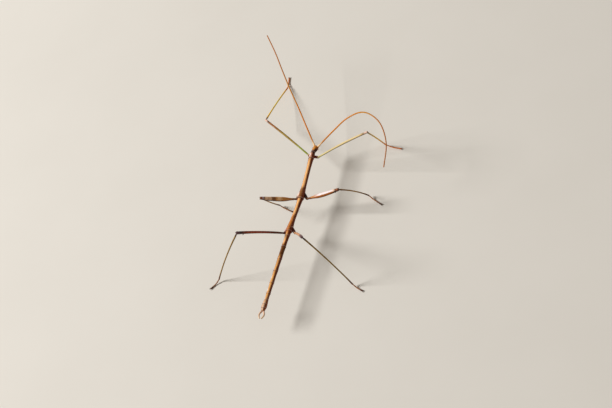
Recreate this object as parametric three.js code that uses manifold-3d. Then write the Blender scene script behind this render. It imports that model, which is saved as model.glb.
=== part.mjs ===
// A male walkingstick insect at life size, standing on six feet.
// Units are millimetres: +X runs forward along the body, +Y to the animal's left, +Z up.
// Every piece is a turned shape laid along a line of the animal's skeleton, so the pose is held
// by the few angles below, and each piece is cut clear of the one it grows from.
import * as THREE from 'three';
import { mergeVertices } from 'three/addons/utils/BufferGeometryUtils.js';
import Module from 'manifold-3d';

const wasm = await Module();
wasm.setup();

// ---- Driving dimensions ---------------------------------------------------------------

const HIND_HIP_HEIGHT = 8.7;
const ANKLE_HEIGHT = 1.2;
const TARSUS_TIP_HEIGHT = 0.28;
const SOLE_SOFTNESS = 0.12;
const JOINT_GAP = 0.05;
const SIDES = { trunk: 12, feelerBase: 10, feeler: 8, clasper: 10, leg: 9, foot: 8, spur: 8, hook: 6 };

// The spine is five straight runs: lengths, and the way each one points.
const SPINE = {
  faceToNeck: { length: 3.05, yaw: -12.5, rise: -6 },
  neckToFrontHip: { length: 2.7, yaw: 0.2, rise: 0.2 },
  frontToMidHip: { length: 17.2, yaw: 2.65, rise: 0.2 },
  midToHindHip: { length: 14.05, yaw: -1.65, rise: 0.4 },
  hindHipToTail: { length: 36.6, yaw: -0.45, rise: 0.6 },
};

// Trunk pieces in order from the claspers to the face, with widths at even steps.
const TRUNK = [
  { name: 'abdomen_10', length: 1.2, widths: [1.05, 1.4, 1.6] },
  { name: 'abdomen_9', length: 1.5, widths: [1.65, 1.9, 1.75] },
  { name: 'abdomen_8', length: 1.6, widths: [1.75, 1.65, 1.48] },
  { name: 'abdomen_7', length: 2.7, widths: [1.45, 1.3, 1.4] },
  { name: 'abdomen_6', length: 4.3, widths: [1.5, 1.36, 1.36, 1.5] },
  { name: 'abdomen_5', length: 4.9, widths: [1.54, 1.4, 1.4, 1.54] },
  { name: 'abdomen_4', length: 5.0, widths: [1.58, 1.44, 1.44, 1.58] },
  { name: 'abdomen_3', length: 5.0, widths: [1.6, 1.48, 1.48, 1.6] },
  { name: 'abdomen_2', length: 4.6, widths: [1.62, 1.5, 1.54, 1.7] },
  { name: 'median_segment', length: 1.9, widths: [1.75, 1.8, 1.95] },
  { name: 'metathorax', length: 14.1, widths: [2.3, 2.05, 1.7, 1.6, 1.6, 1.7, 2.0] },
  { name: 'mesothorax', length: 17.8, widths: [2.35, 2.1, 1.7, 1.58, 1.55, 1.55, 1.65, 1.85] },
  { name: 'pronotum', length: 2.9, widths: [1.9, 1.85, 1.8, 1.66] },
  { name: 'head', length: 3.2, widths: [1.4, 1.66, 1.8, 1.86, 1.86, 1.62, 0.98] },
];
const TRUNK_FLATNESS = 0.92;

// Claspers bow out from the tail and back in; the plate hangs under the end of the abdomen.
const CLASPER = {
  length: 3.0, down: 0.05, rootOverlap: 0.05, rootOut: 0.36, bowFromTip: 1.5, bowOut: 1.36,
  tipFromEnd: 0.28, tipOut: 0.3, widths: [0.56, 0.56, 0.54, 0.52, 0.52, 0.5],
};
const UNDER_PLATE = { fromTail: 5.9, down: 0.62, halfLength: 1.5, halfWidth: 0.62, halfHeight: 0.52 };

const EYE = { behindFace: 1.5, out: 0.8, up: 0.12, halfLength: 0.44, halfWidth: 0.36, halfHeight: 0.46 };
const MOUTHPARTS = { behindFace: 0.45, down: 0.62, halfLength: 0.62, halfWidth: 0.6, halfHeight: 0.5 };

// Each feeler is a chain of six equal steps; every step has its own yaw and rise.
const FEELER = { length: 50, behindFace: 0.6, out: 0.5, up: 0.3, baseLength: 1.3, baseWidth: 0.78 };
const FEELER_WIDTHS = [0.6, 0.56, 0.52, 0.5];
const FEELER_STEPS = {
  left: [[32.7, 17.4], [32.4, 16.4], [33.8, 15.4], [31.9, 14.3], [31.1, 13.8], [34.4, 12.8]],
  right: [[-57.2, 33.2], [-73.7, 39.7], [-96.5, 31.5], [-124.8, 5.7], [-152.5, -16.3], [-182, -35]],
};

// Leg sizes for each pair, and where its hip lies from the spine's own hip place. A bow is how
// far the middle of a thigh or shin stands above the straight line between its joints.
const PAIRS = {
  front: {
    hip: 'neckToFrontHip', hipForward: 1.0, hipOut: 0.6, hipDown: 0.35, coxaLength: 1.6,
    femurLength: 24.75, tibiaLength: 23.6, tarsusLength: 5.4, femurBow: 0.45, spur: 0,
    coxaWidths: [0.95, 1.0, 0.84],
    femurWidths: [0.66, 0.64, 0.7, 0.78, 0.78, 0.74, 0.76],
    tibiaWidths: [0.6, 0.54, 0.52, 0.52, 0.56],
  },
  mid: {
    hip: 'frontToMidHip', hipForward: 1.25, hipOut: 0.85, hipDown: 0.3, coxaLength: 1.95,
    femurLength: 12.95, tibiaLength: 15.3, tarsusLength: 5.4, femurBow: -0.25, spur: 0.7,
    coxaWidths: [1.25, 1.25, 0.86],
    femurWidths: [0.66, 0.76, 1.34, 1.52, 1.4, 1.24, 1.02],
    tibiaWidths: [0.62, 0.54, 0.52, 0.52, 0.56],
  },
  hind: {
    hip: 'midToHindHip', hipForward: 0.5, hipOut: 0.82, hipDown: 0.3, coxaLength: 2.0,
    femurLength: 21.7, tibiaLength: 25.7, tarsusLength: 3.6, femurBow: 0.35, spur: 0.7,
    coxaWidths: [1.25, 1.2, 0.84],
    femurWidths: [0.66, 0.72, 0.78, 0.8, 0.84, 0.92, 0.98],
    tibiaWidths: [0.62, 0.56, 0.54, 0.52, 0.56],
  },
};

// Pose of each leg: yaw and rise of coxa and thigh, then yaw of shin and foot, in degrees, and the
// bow of the shin. The shin's own slope follows from its length and the height of the knee.
const POSES = {
  left_front: { coxa: [45.3, -22], femur: [54.2, 2.2], tibiaYaw: -0.5, tarsusYaw: 11.9, bow: 0.35 },
  right_front: { coxa: [-83, -16], femur: [-87.2, 33.4], tibiaYaw: 2.2, tarsusYaw: -97.7, bow: 0.15 },
  left_mid: { coxa: [162.2, -7.3], femur: [117.5, 28.9], tibiaYaw: -9, tarsusYaw: -109.9, bow: -0.2 },
  right_mid: { coxa: [-138.8, -8.9], femur: [-84.8, 21.3], tibiaYaw: -42.7, tarsusYaw: -119.7, bow: 0.55 },
  left_hind: { coxa: [162, -1.3], femur: [142.5, 44.7], tibiaYaw: 107.6, tarsusYaw: 146.6, bow: 0.5 },
  right_hind: { coxa: [-136.7, -7.6], femur: [-142.4, 44.2], tibiaYaw: -98.9, tarsusYaw: -115.6, bow: 0.5 },
};

// Foot: five joints, swollen at each, with a flat sole; two claws beside a pad at the tip.
const COXA_ROOT_DEPTH = 0.4;
const SPUR = { share: 0.86, down: 0.3, lean: 0.25, widths: [0.5, 0.32, 0.12] };
const INSTEP = { share: 0.45, up: 0.15 };
const TARSUS_WIDTHS = [0.5, 0.48, 0.5, 0.54, 0.5, 0.55, 0.5, 0.56, 0.5, 0.56];
const PAD = { forward: 0.42, length: 0.8, width: 0.66, height: 0.6, sides: 8, rings: 5 };
const CLAW = { length: 0.66, widths: [0.5, 0.3], splay: 28, dip: 4 };

const COLOURS = {
  trunk: 0x8a5238,
  head: 0x7a4a33,
  eye: 0x2a1a14,
  feeler: 0xb8682c,
  frontLeg: 0x8f8540,
  midLeg: 0x8b6048,
  hindLeg: 0x6a4234,
  claspers: 0xc79a78,
  claw: 0x3b2318,
};

// ---- Frames and lines -----------------------------------------------------------------

const WORLD_UP = new THREE.Vector3(0, 0, 1);

// Unit vector that points yaw degrees left of straight ahead and rise degrees up.
function heading(yaw, rise) {
  const turn = THREE.MathUtils.degToRad(yaw);
  const climb = THREE.MathUtils.degToRad(rise);
  return new THREE.Vector3(
    Math.cos(climb) * Math.cos(turn),
    Math.cos(climb) * Math.sin(turn),
    Math.sin(climb),
  );
}

// Point reached from start by going a distance along a direction.
function reach(start, direction, distance) {
  return start.clone().addScaledVector(direction, distance);
}

// A line that pieces are laid along: a point, and a right-handed frame, at any distance.
// Past its ends the line runs on straight.
function lineAlong(curve) {
  const length = curve.getLength();
  function at(distance) {
    const inside = THREE.MathUtils.clamp(distance, 0, length);
    const forward = curve.getTangentAt(inside / length);
    const point = curve.getPointAt(inside / length);
    point.addScaledVector(forward, distance - inside);
    const right = new THREE.Vector3().crossVectors(forward, WORLD_UP).normalize();
    const up = new THREE.Vector3().crossVectors(right, forward);
    return { point, forward, right, up };
  }
  return { length, at };
}

function straightLine(start, end) {
  return lineAlong(new THREE.LineCurve3(start, end));
}

// A line whose middle stands a little above the straight way between its ends.
function bowedLine(start, end, bow) {
  const straight = straightLine(start, end).at(0);
  const middle = reach(start.clone().lerp(end, 0.5), straight.up, 2 * bow);
  return lineAlong(new THREE.QuadraticBezierCurve3(start, middle, end));
}

function smoothLine(points) {
  return lineAlong(new THREE.CatmullRomCurve3(points));
}

// ---- Solids ---------------------------------------------------------------------------

// Outline of a piece with flat ends: widths at even steps of its length. A grown one also runs
// on far enough at both ends to close the thin cut to the next piece.
function flatEnded(length, widths, grow = 0) {
  const overrun = 2 * grow;
  const outline = [new THREE.Vector2(0, -overrun)];
  widths.forEach((width, step) => {
    const share = step / (widths.length - 1);
    const along = THREE.MathUtils.lerp(-overrun, length + overrun, share);
    outline.push(new THREE.Vector2(width / 2 + grow, along));
  });
  outline.push(new THREE.Vector2(0, length + overrun));
  return outline;
}

// Outline of a limb piece whose ends are half balls centred on its joints.
function ballEnded(length, widths, grow = 0) {
  const first = widths[0] / 2 + grow;
  const last = widths[widths.length - 1] / 2 + grow;
  const outline = [new THREE.Vector2(0, -first)];
  outline.push(new THREE.Vector2(first * Math.SQRT1_2, -first * Math.SQRT1_2));
  widths.forEach((width, step) => {
    outline.push(new THREE.Vector2(width / 2 + grow, (length * step) / (widths.length - 1)));
  });
  outline.push(new THREE.Vector2(last * Math.SQRT1_2, length + last * Math.SQRT1_2));
  outline.push(new THREE.Vector2(0, length + last));
  return outline;
}

// One closed skin: corners shared, and no triangle that has lost an edge at a pole.
function closedSkin(geometry) {
  const bare = geometry.clone();
  bare.deleteAttribute('normal');
  bare.deleteAttribute('uv');
  const merged = mergeVertices(bare, 1e-5);
  const corners = merged.index.array;
  const kept = [];
  for (let first = 0; first < corners.length; first += 3) {
    const [a, b, c] = corners.slice(first, first + 3);
    if (a !== b && b !== c && c !== a) {
      kept.push(a, b, c);
    }
  }
  merged.setIndex(kept);
  return merged;
}

// Turns an outline on a lathe and lays it along a line, starting a distance in.
function turnedAlong(line, start, outline, sides, flatness = 1) {
  const skin = closedSkin(new THREE.LatheGeometry(outline, sides));
  const places = skin.attributes.position;
  for (let corner = 0; corner < places.count; corner += 1) {
    const frame = line.at(start + places.getY(corner));
    const place = frame.point.clone();
    place.addScaledVector(frame.right, places.getX(corner));
    place.addScaledVector(frame.up, places.getZ(corner) * flatness);
    places.setXYZ(corner, place.x, place.y, place.z);
  }
  return skin;
}

// An egg shape with its long axis along a frame's forward.
function egg(frame, centre, halfLength, halfWidth, halfHeight, sides = 10, rings = 7) {
  const skin = closedSkin(new THREE.SphereGeometry(1, sides, rings));
  const basis = new THREE.Matrix4().makeBasis(
    frame.forward.clone().multiplyScalar(halfLength),
    frame.right.clone().multiplyScalar(-halfWidth),
    frame.up.clone().multiplyScalar(halfHeight),
  );
  basis.setPosition(centre);
  return skin.applyMatrix4(basis);
}

// Presses what comes near the floor flat against it, as a soft sole lies.
function restedOnFloor(skin) {
  const places = skin.attributes.position;
  for (let corner = 0; corner < places.count; corner += 1) {
    if (places.getZ(corner) < SOLE_SOFTNESS) {
      places.setZ(corner, 0);
    }
  }
  return skin;
}

function toSolid(skin) {
  const vertProperties = new Float32Array(skin.attributes.position.array);
  const triVerts = new Uint32Array(skin.index.array);
  return new wasm.Manifold(new wasm.Mesh({ numProp: 3, vertProperties, triVerts }));
}

function fromSolid(solid) {
  const mesh = solid.getMesh();
  const geometry = new THREE.BufferGeometry();
  geometry.setAttribute('position', new THREE.BufferAttribute(new Float32Array(mesh.vertProperties), 3));
  geometry.setIndex(new THREE.BufferAttribute(new Uint32Array(mesh.triVerts), 1));
  return geometry;
}

// Cuts a piece clear of its neighbours.
function cutClear(skin, neighbours) {
  return fromSolid(neighbours.reduce((solid, other) => solid.subtract(toSolid(other)), toSolid(skin)));
}

// Joins several skins into one solid.
function joined(skins) {
  return fromSolid(skins.map(toSolid).reduce((whole, part) => whole.add(part)));
}

// ---- The model ------------------------------------------------------------------------

const insect = new THREE.Group();

function addPiece(name, geometry, colour, roughness = 0.55) {
  geometry.computeVertexNormals();
  const material = new THREE.MeshStandardMaterial({ color: colour, roughness, metalness: 0 });
  const mesh = new THREE.Mesh(geometry, material);
  mesh.name = name;
  insect.add(mesh);
}

// Spine: hips are found from the hind pair forward, and the tail from it backward.
const hips = { midToHindHip: new THREE.Vector3(0, 0, HIND_HIP_HEIGHT) };
hips.frontToMidHip = reach(hips.midToHindHip, runOf('midToHindHip'), SPINE.midToHindHip.length);
hips.neckToFrontHip = reach(hips.frontToMidHip, runOf('frontToMidHip'), SPINE.frontToMidHip.length);
const neck = reach(hips.neckToFrontHip, runOf('neckToFrontHip'), SPINE.neckToFrontHip.length);
const face = reach(neck, runOf('faceToNeck'), SPINE.faceToNeck.length);
const tail = reach(hips.midToHindHip, runOf('hindHipToTail'), -SPINE.hindHipToTail.length);
const joints = [tail, hips.midToHindHip, hips.frontToMidHip, hips.neckToFrontHip, neck, face];
const spine = smoothLine(joints);

function runOf(part) {
  return heading(SPINE[part].yaw, SPINE[part].rise);
}

// Trunk: flat-ended lengths with a thin cut between each two.
const trunkOutlines = {};
let trunkReach = CLASPER.length;
for (const { name, length, widths } of TRUNK) {
  trunkOutlines[name] = { start: trunkReach + JOINT_GAP, length: length - 2 * JOINT_GAP, widths };
  trunkReach += length;
}

function trunkSkin(name, grow = 0) {
  const { start, length, widths } = trunkOutlines[name];
  return turnedAlong(spine, start, flatEnded(length, widths, grow), SIDES.trunk, TRUNK_FLATNESS);
}

for (const { name } of TRUNK) {
  addPiece(name, trunkSkin(name), name === 'head' ? COLOURS.head : COLOURS.trunk);
}

// A place on the spine: how far behind the face, out to one side, and up.
function spinePlace(behindFace, out, up) {
  const frame = spine.at(spine.length - behindFace);
  const centre = reach(frame.point, frame.right, -out);
  centre.addScaledVector(frame.up, up);
  return { frame, centre };
}

function addHeadParts() {
  const around = trunkSkin('head', JOINT_GAP);
  for (const [side, sign] of [['left', 1], ['right', -1]]) {
    const { frame, centre } = spinePlace(EYE.behindFace, sign * EYE.out, EYE.up);
    const eye = egg(frame, centre, EYE.halfLength, EYE.halfWidth, EYE.halfHeight);
    addPiece(`${side}_eye`, cutClear(eye, [around]), COLOURS.eye, 0.15);
  }
  const { frame, centre } = spinePlace(MOUTHPARTS.behindFace, 0, -MOUTHPARTS.down);
  const { halfLength, halfWidth, halfHeight } = MOUTHPARTS;
  const mouth = egg(frame, centre, halfLength, halfWidth, halfHeight);
  addPiece('mouthparts', cutClear(mouth, [around]), COLOURS.head);
}

function addFeeler(side, sign) {
  const points = [spinePlace(FEELER.behindFace, sign * FEELER.out, FEELER.up).centre];
  for (const [yaw, rise] of FEELER_STEPS[side]) {
    const step = FEELER.length / FEELER_STEPS[side].length;
    points.push(reach(points[points.length - 1], heading(yaw, rise), step));
  }
  const line = smoothLine(points);
  const baseWidths = Array(3).fill(FEELER.baseWidth);
  const base = (grow) => {
    const outline = ballEnded(FEELER.baseLength, baseWidths, grow);
    return turnedAlong(line, 0, outline, SIDES.feelerBase);
  };
  addPiece(`${side}_antenna_base`, cutClear(base(0), [trunkSkin('head', JOINT_GAP)]), COLOURS.feeler);
  const lengths = FEELER_WIDTHS.length - 1;
  const share = (line.length - FEELER.baseLength) / lengths;
  for (let length = 0; length < lengths; length += 1) {
    const start = FEELER.baseLength + length * share + JOINT_GAP;
    const from = FEELER_WIDTHS[length];
    const to = FEELER_WIDTHS[length + 1];
    const widths = [0, 1, 2, 3, 4, 5].map((step) => THREE.MathUtils.lerp(from, to, step / 5));
    const skin = turnedAlong(line, start, flatEnded(share - 2 * JOINT_GAP, widths), SIDES.feeler);
    const piece = length === 0 ? cutClear(skin, [base(JOINT_GAP)]) : skin;
    addPiece(`${side}_antenna_${length + 1}`, piece, COLOURS.feeler);
  }
}

// Claspers: a pair of in-curved hooks that close a loop behind the last segment.
function addClasper(side, sign) {
  const place = (fromEnd, out) => spinePlace(spine.length - fromEnd, sign * out, -CLASPER.down).centre;
  const bow = new THREE.QuadraticBezierCurve3(
    place(CLASPER.length + CLASPER.rootOverlap, CLASPER.rootOut),
    place(CLASPER.bowFromTip, CLASPER.bowOut),
    place(CLASPER.tipFromEnd, CLASPER.tipOut),
  );
  const line = lineAlong(bow);
  const skin = turnedAlong(line, 0, ballEnded(line.length, CLASPER.widths), SIDES.clasper);
  addPiece(`${side}_clasper`, cutClear(skin, [trunkSkin('abdomen_10', JOINT_GAP)]), COLOURS.claspers);
}

// Scoop-shaped plate under the eighth and ninth segments.
function addUnderPlate() {
  const { frame, centre } = spinePlace(spine.length - UNDER_PLATE.fromTail, 0, -UNDER_PLATE.down);
  const { halfLength, halfWidth, halfHeight } = UNDER_PLATE;
  const plate = egg(frame, centre, halfLength, halfWidth, halfHeight);
  const above = ['abdomen_7', 'abdomen_8', 'abdomen_9', 'abdomen_10'];
  const around = above.map((name) => trunkSkin(name, JOINT_GAP));
  addPiece('subgenital_plate', cutClear(plate, around), COLOURS.trunk);
}

// A small tooth under the thigh, near the knee.
function spurUnder(line, length) {
  const frame = line.at(line.length * SPUR.share);
  const start = reach(frame.point, frame.up, -SPUR.down);
  const end = reach(reach(start, frame.up, -length), frame.forward, SPUR.lean * length);
  return turnedAlong(straightLine(start, end), 0, ballEnded(length, SPUR.widths), SIDES.spur);
}

// Claws: a round pad with a hooked claw on each side, flat underneath.
function clawSkins(tip, yaw) {
  const frame = { forward: heading(yaw, 0), right: heading(yaw - 90, 0), up: WORLD_UP };
  const centre = reach(tip, frame.forward, PAD.forward);
  const pad = egg(frame, centre, PAD.length / 2, PAD.width / 2, PAD.height / 2, PAD.sides, PAD.rings);
  const hooks = [1, -1].map((sign) => {
    const end = reach(centre, heading(yaw + sign * CLAW.splay, -CLAW.dip), CLAW.length);
    return turnedAlong(straightLine(centre, end), 0, ballEnded(CLAW.length, CLAW.widths), SIDES.hook);
  });
  return [pad, ...hooks];
}

// Trunk pieces that each pair of legs stands against.
const BESIDE_HIP = {
  front: ['pronotum', 'mesothorax', 'head'],
  mid: ['mesothorax', 'metathorax'],
  hind: ['metathorax', 'median_segment'],
};

function addLeg(side, sign, pairName) {
  const pair = PAIRS[pairName];
  const pose = POSES[`${side}_${pairName}`];
  const name = `${side}_${pairName}`;
  const colour = COLOURS[`${pairName}Leg`];
  const besideSpine = new THREE.Vector3(pair.hipForward, sign * pair.hipOut, -pair.hipDown);
  const hip = hips[pair.hip].clone().add(besideSpine);
  const coxaWay = heading(...pose.coxa);
  const socket = reach(hip, coxaWay, pair.coxaLength);
  const knee = reach(socket, heading(...pose.femur), pair.femurLength);
  const drop = THREE.MathUtils.radToDeg(Math.asin((knee.z - ANKLE_HEIGHT) / pair.tibiaLength));
  const ankle = reach(knee, heading(pose.tibiaYaw, -drop), pair.tibiaLength);
  const toe = reach(ankle, heading(pose.tarsusYaw, 0), pair.tarsusLength);
  toe.z = TARSUS_TIP_HEIGHT;
  const instep = ankle.clone().lerp(toe, INSTEP.share);
  instep.z = TARSUS_TIP_HEIGHT + INSTEP.up;

  const lines = {
    coxa: straightLine(reach(hip, coxaWay, -COXA_ROOT_DEPTH), socket),
    femur: bowedLine(socket, knee, pair.femurBow),
    tibia: bowedLine(knee, ankle, pose.bow),
    tarsus: smoothLine([ankle, instep, toe]),
  };
  const widths = {
    coxa: pair.coxaWidths,
    femur: pair.femurWidths,
    tibia: pair.tibiaWidths,
    tarsus: TARSUS_WIDTHS,
  };
  const limb = (part, grow = 0) => {
    const outline = ballEnded(lines[part].length, widths[part], grow);
    return turnedAlong(lines[part], 0, outline, part === 'tarsus' ? SIDES.foot : SIDES.leg);
  };

  const body = BESIDE_HIP[pairName].map((part) => trunkSkin(part, JOINT_GAP));
  addPiece(`${name}_coxa`, cutClear(limb('coxa'), body), colour);
  const thigh = pair.spur > 0 ? joined([limb('femur'), spurUnder(lines.femur, pair.spur)]) : limb('femur');
  addPiece(`${name}_femur`, cutClear(thigh, [limb('coxa', JOINT_GAP), ...body]), colour);
  addPiece(`${name}_tibia`, cutClear(limb('tibia'), [limb('femur', JOINT_GAP)]), colour);
  addPiece(`${name}_tarsus`, cutClear(restedOnFloor(limb('tarsus')), [limb('tibia', JOINT_GAP)]), colour);
  const claws = joined(clawSkins(toe, pose.tarsusYaw).map(restedOnFloor));
  addPiece(`${name}_claws`, cutClear(claws, [limb('tarsus', JOINT_GAP)]), COLOURS.claw);
}

addHeadParts();
addUnderPlate();
for (const [side, sign] of [['left', 1], ['right', -1]]) {
  addFeeler(side, sign);
  addClasper(side, sign);
  for (const pairName of Object.keys(PAIRS)) {
    addLeg(side, sign, pairName);
  }
}

// The origin is the middle of the model's footprint, on the floor.
const box = new THREE.Box3().setFromObject(insect);
const middle = box.getCenter(new THREE.Vector3());
insect.position.set(-middle.x, -middle.y, -box.min.z);

export default insect;
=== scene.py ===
"""Walkingstick insect: the finished look of a slender male walkingstick at life size.

The packed model is the fixed frame. Each operator below makes one piece of the animal, or one
group of like pieces, on the same lines that the solids follow, in millimetres scaled to metres.
"""

import math
from collections import namedtuple

import bmesh
import bpy
import numpy as np
from bpy.props import FloatProperty, FloatVectorProperty, PointerProperty
from mathutils import Matrix, Vector
from mathutils.kdtree import KDTree


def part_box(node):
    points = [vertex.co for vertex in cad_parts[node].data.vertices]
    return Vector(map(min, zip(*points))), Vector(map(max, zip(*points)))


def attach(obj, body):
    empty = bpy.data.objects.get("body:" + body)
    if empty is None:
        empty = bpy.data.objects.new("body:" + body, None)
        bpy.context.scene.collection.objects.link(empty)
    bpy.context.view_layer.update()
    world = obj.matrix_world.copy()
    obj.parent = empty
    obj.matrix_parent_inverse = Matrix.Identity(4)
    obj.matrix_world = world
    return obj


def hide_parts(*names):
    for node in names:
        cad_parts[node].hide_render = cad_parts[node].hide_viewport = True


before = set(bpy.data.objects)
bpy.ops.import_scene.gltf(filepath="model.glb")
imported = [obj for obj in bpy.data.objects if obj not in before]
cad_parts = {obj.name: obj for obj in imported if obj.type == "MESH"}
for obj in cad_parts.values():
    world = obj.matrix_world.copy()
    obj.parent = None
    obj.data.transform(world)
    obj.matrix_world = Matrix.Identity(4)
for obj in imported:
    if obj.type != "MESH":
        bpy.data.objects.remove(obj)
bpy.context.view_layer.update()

bl_info = {
    "name": "Walkingstick insect",
    "version": (1, 0, 0),
    "blender": (4, 5, 0),
    "location": "3D View > Sidebar > Walkingstick",
    "description": "Makes a life-size walkingstick insect piece by piece",
    "category": "Add Mesh",
}

BODY = "root"
MM = 0.001

# ---- The animal's measures, in millimetres and degrees -----------------------------------

# Heights above the floor, and where the middle of a foot lies, as a share of it, and how high
# above its tip.
HIND_HIP_HEIGHT = 8.7
ANKLE_HEIGHT = 1.2
TARSUS_TIP_HEIGHT = 0.28
INSTEP_SHARE = 0.45
INSTEP_UP = 0.15

# The spine's straight runs.
Run = namedtuple("Run", "length yaw rise")
SPINE = {
    "face_to_neck": Run(3.05, -12.5, -6),
    "neck_to_front_hip": Run(2.7, 0.2, 0.2),
    "front_to_mid_hip": Run(17.2, 2.65, 0.2),
    "mid_to_hind_hip": Run(14.05, -1.65, 0.4),
    "hind_hip_to_tail": Run(36.6, -0.45, 0.6),
}
CLASPER_LENGTH = 3.0

# Trunk pieces from the tail to the face, with widths at even steps.
Plate = namedtuple("Plate", "node length widths")
TRUNK = (
    Plate("abdomen_10", 1.2, (1.05, 1.4, 1.6)),
    Plate("abdomen_9", 1.5, (1.65, 1.9, 1.75)),
    Plate("abdomen_8", 1.6, (1.75, 1.65, 1.48)),
    Plate("abdomen_7", 2.7, (1.45, 1.3, 1.4)),
    Plate("abdomen_6", 4.3, (1.5, 1.36, 1.36, 1.5)),
    Plate("abdomen_5", 4.9, (1.54, 1.4, 1.4, 1.54)),
    Plate("abdomen_4", 5.0, (1.58, 1.44, 1.44, 1.58)),
    Plate("abdomen_3", 5.0, (1.6, 1.48, 1.48, 1.6)),
    Plate("abdomen_2", 4.6, (1.62, 1.5, 1.54, 1.7)),
    Plate("median_segment", 1.9, (1.75, 1.8, 1.95)),
    Plate("metathorax", 14.1, (2.3, 2.05, 1.7, 1.6, 1.6, 1.7, 2.0)),
    Plate("mesothorax", 17.8, (2.35, 2.1, 1.7, 1.58, 1.55, 1.55, 1.65, 1.85)),
    Plate("pronotum", 2.9, (1.9, 1.85, 1.8, 1.66)),
    Plate("head", 3.2, (1.4, 1.66, 1.8, 1.86, 1.86, 1.62, 0.98)),
)
TRUNK_FLATNESS = 0.92

# How deep the skin tucks in under each plate's rim, and how far that rim stands up.
PLATE_TUCK = {"head": 0.17, "pronotum": 0.1, "mesothorax": 0.1, "metathorax": 0.05}
ABDOMEN_TUCK = 0.06
RIM_UP = 0.04
TUCK_REACH = 0.34
RIM_REACH = 0.22

# Legs: the spine's run that ends at the pair's hips, where a hip lies from there, the length of
# each part, the thigh's bow, the tooth under it, and each part's widths at even steps.
PAIRS = {
    "front": {
        "hip": "neck_to_front_hip", "hip_forward": 1.0, "hip_out": 0.6, "hip_down": 0.35,
        "coxa": 1.6, "femur": 24.75, "tibia": 23.6, "tarsus": 5.4, "femur_bow": 0.45, "spur": 0.0,
        "coxa_widths": (0.95, 1.0, 0.84),
        "femur_widths": (0.6, 0.6, 0.66, 0.74, 0.74, 0.7, 0.72),
        "tibia_widths": (0.56, 0.48, 0.46, 0.46, 0.5),
    },
    "mid": {
        "hip": "front_to_mid_hip", "hip_forward": 1.25, "hip_out": 0.85, "hip_down": 0.3,
        "coxa": 1.95, "femur": 12.95, "tibia": 15.3, "tarsus": 5.4, "femur_bow": -0.25, "spur": 0.7,
        "coxa_widths": (1.25, 1.25, 0.86),
        "femur_widths": (0.64, 0.82, 1.36, 1.52, 1.4, 1.24, 1.0),
        "tibia_widths": (0.56, 0.46, 0.44, 0.44, 0.5),
    },
    "hind": {
        "hip": "mid_to_hind_hip", "hip_forward": 0.5, "hip_out": 0.82, "hip_down": 0.3,
        "coxa": 2.0, "femur": 21.7, "tibia": 25.7, "tarsus": 3.6, "femur_bow": 0.35, "spur": 0.7,
        "coxa_widths": (1.25, 1.2, 0.84),
        "femur_widths": (0.62, 0.7, 0.76, 0.78, 0.82, 0.9, 0.96),
        "tibia_widths": (0.58, 0.5, 0.46, 0.44, 0.5),
    },
}

# Pose of each leg: yaw and rise of coxa and thigh, then yaw of shin and foot, and the shin's bow.
LegPose = namedtuple("LegPose", "coxa femur tibia_yaw tarsus_yaw tibia_bow")
POSES = {
    "left_front": LegPose((45.3, -22), (54.2, 2.2), -0.5, 11.9, 0.35),
    "right_front": LegPose((-83, -16), (-87.2, 33.4), 2.2, -97.7, 0.15),
    "left_mid": LegPose((162.2, -7.3), (117.5, 28.9), -9, -109.9, -0.2),
    "right_mid": LegPose((-138.8, -8.9), (-84.8, 21.3), -42.7, -119.7, 0.55),
    "left_hind": LegPose((162, -1.3), (142.5, 44.7), 107.6, 146.6, 0.5),
    "right_hind": LegPose((-136.7, -7.6), (-142.4, 44.2), -98.9, -115.6, 0.5),
}
SIDES = {"left": 1, "right": -1}

# How deep a hip joint is rooted in the trunk, how long the ring between it and the thigh is, and
# where the joints of a foot end, as shares of the foot.
COXA_ROOT_DEPTH = 0.4
TROCHANTER_LENGTH = 0.95
TARSOMERE_ENDS = (0.0, 0.4, 0.58, 0.71, 0.81, 1.0)

# Antennae: root on the head, then six equal steps of yaw and rise.
ANTENNA_LENGTH = 50.0
ANTENNA_ROOT = (0.6, 0.5, 0.3)
ANTENNA_STEPS = {
    "left": ((32.7, 17.4), (32.4, 16.4), (33.8, 15.4), (31.9, 14.3), (31.1, 13.8), (34.4, 12.8)),
    "right": ((-57.2, 33.2), (-73.7, 39.7), (-96.5, 31.5), (-124.8, 5.7), (-152.5, -16.3), (-182, -35)),
}
SCAPE_LENGTH = 1.3

# Places on the head are given as distance behind the face, out to the side, and up.
EYE_PLACE = (1.5, 0.75, 0.14)
EYE_HALF = (0.43, 0.34, 0.44)

# ---- Lines that the pieces follow --------------------------------------------------------

WORLD_UP = np.array((0.0, 0.0, 1.0))


def unit(vectors):
    """Vectors of length one."""
    return vectors / np.linalg.norm(vectors, axis=-1, keepdims=True)


def heading(yaw, rise):
    """Direction that points yaw degrees left of straight ahead and rise degrees up."""
    turn, climb = math.radians(yaw), math.radians(rise)
    flat = math.cos(climb)
    return np.array((flat * math.cos(turn), flat * math.sin(turn), math.sin(climb)))


class Line:
    """A path with a place and a right-handed frame at any distance; straight past its ends."""

    def __init__(self, points):
        self.points = np.asarray(points, float)
        steps = np.linalg.norm(np.diff(self.points, axis=0), axis=1)
        self.reached = np.concatenate(([0.0], np.cumsum(steps)))
        self.length = self.reached[-1]
        self.tangents = unit(np.gradient(self.points, self.reached, axis=0))

    def at(self, distances):
        """Places, and the forward, right and up directions there."""
        distances = np.atleast_1d(np.asarray(distances, float))
        inside = np.clip(distances, 0, self.length)
        columns = range(3)
        places = np.stack([np.interp(inside, self.reached, self.points[:, c]) for c in columns], 1)
        forward = np.stack([np.interp(inside, self.reached, self.tangents[:, c]) for c in columns], 1)
        forward = unit(forward)
        places = places + forward * (distances - inside)[:, None]
        right = unit(np.cross(forward, WORLD_UP))
        return places, forward, right, np.cross(right, forward)

    def place(self, distance, out=0.0, up=0.0):
        """One point beside the line."""
        places, _, right, above = self.at(distance)
        return places[0] + right[0] * out + above[0] * up


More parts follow.
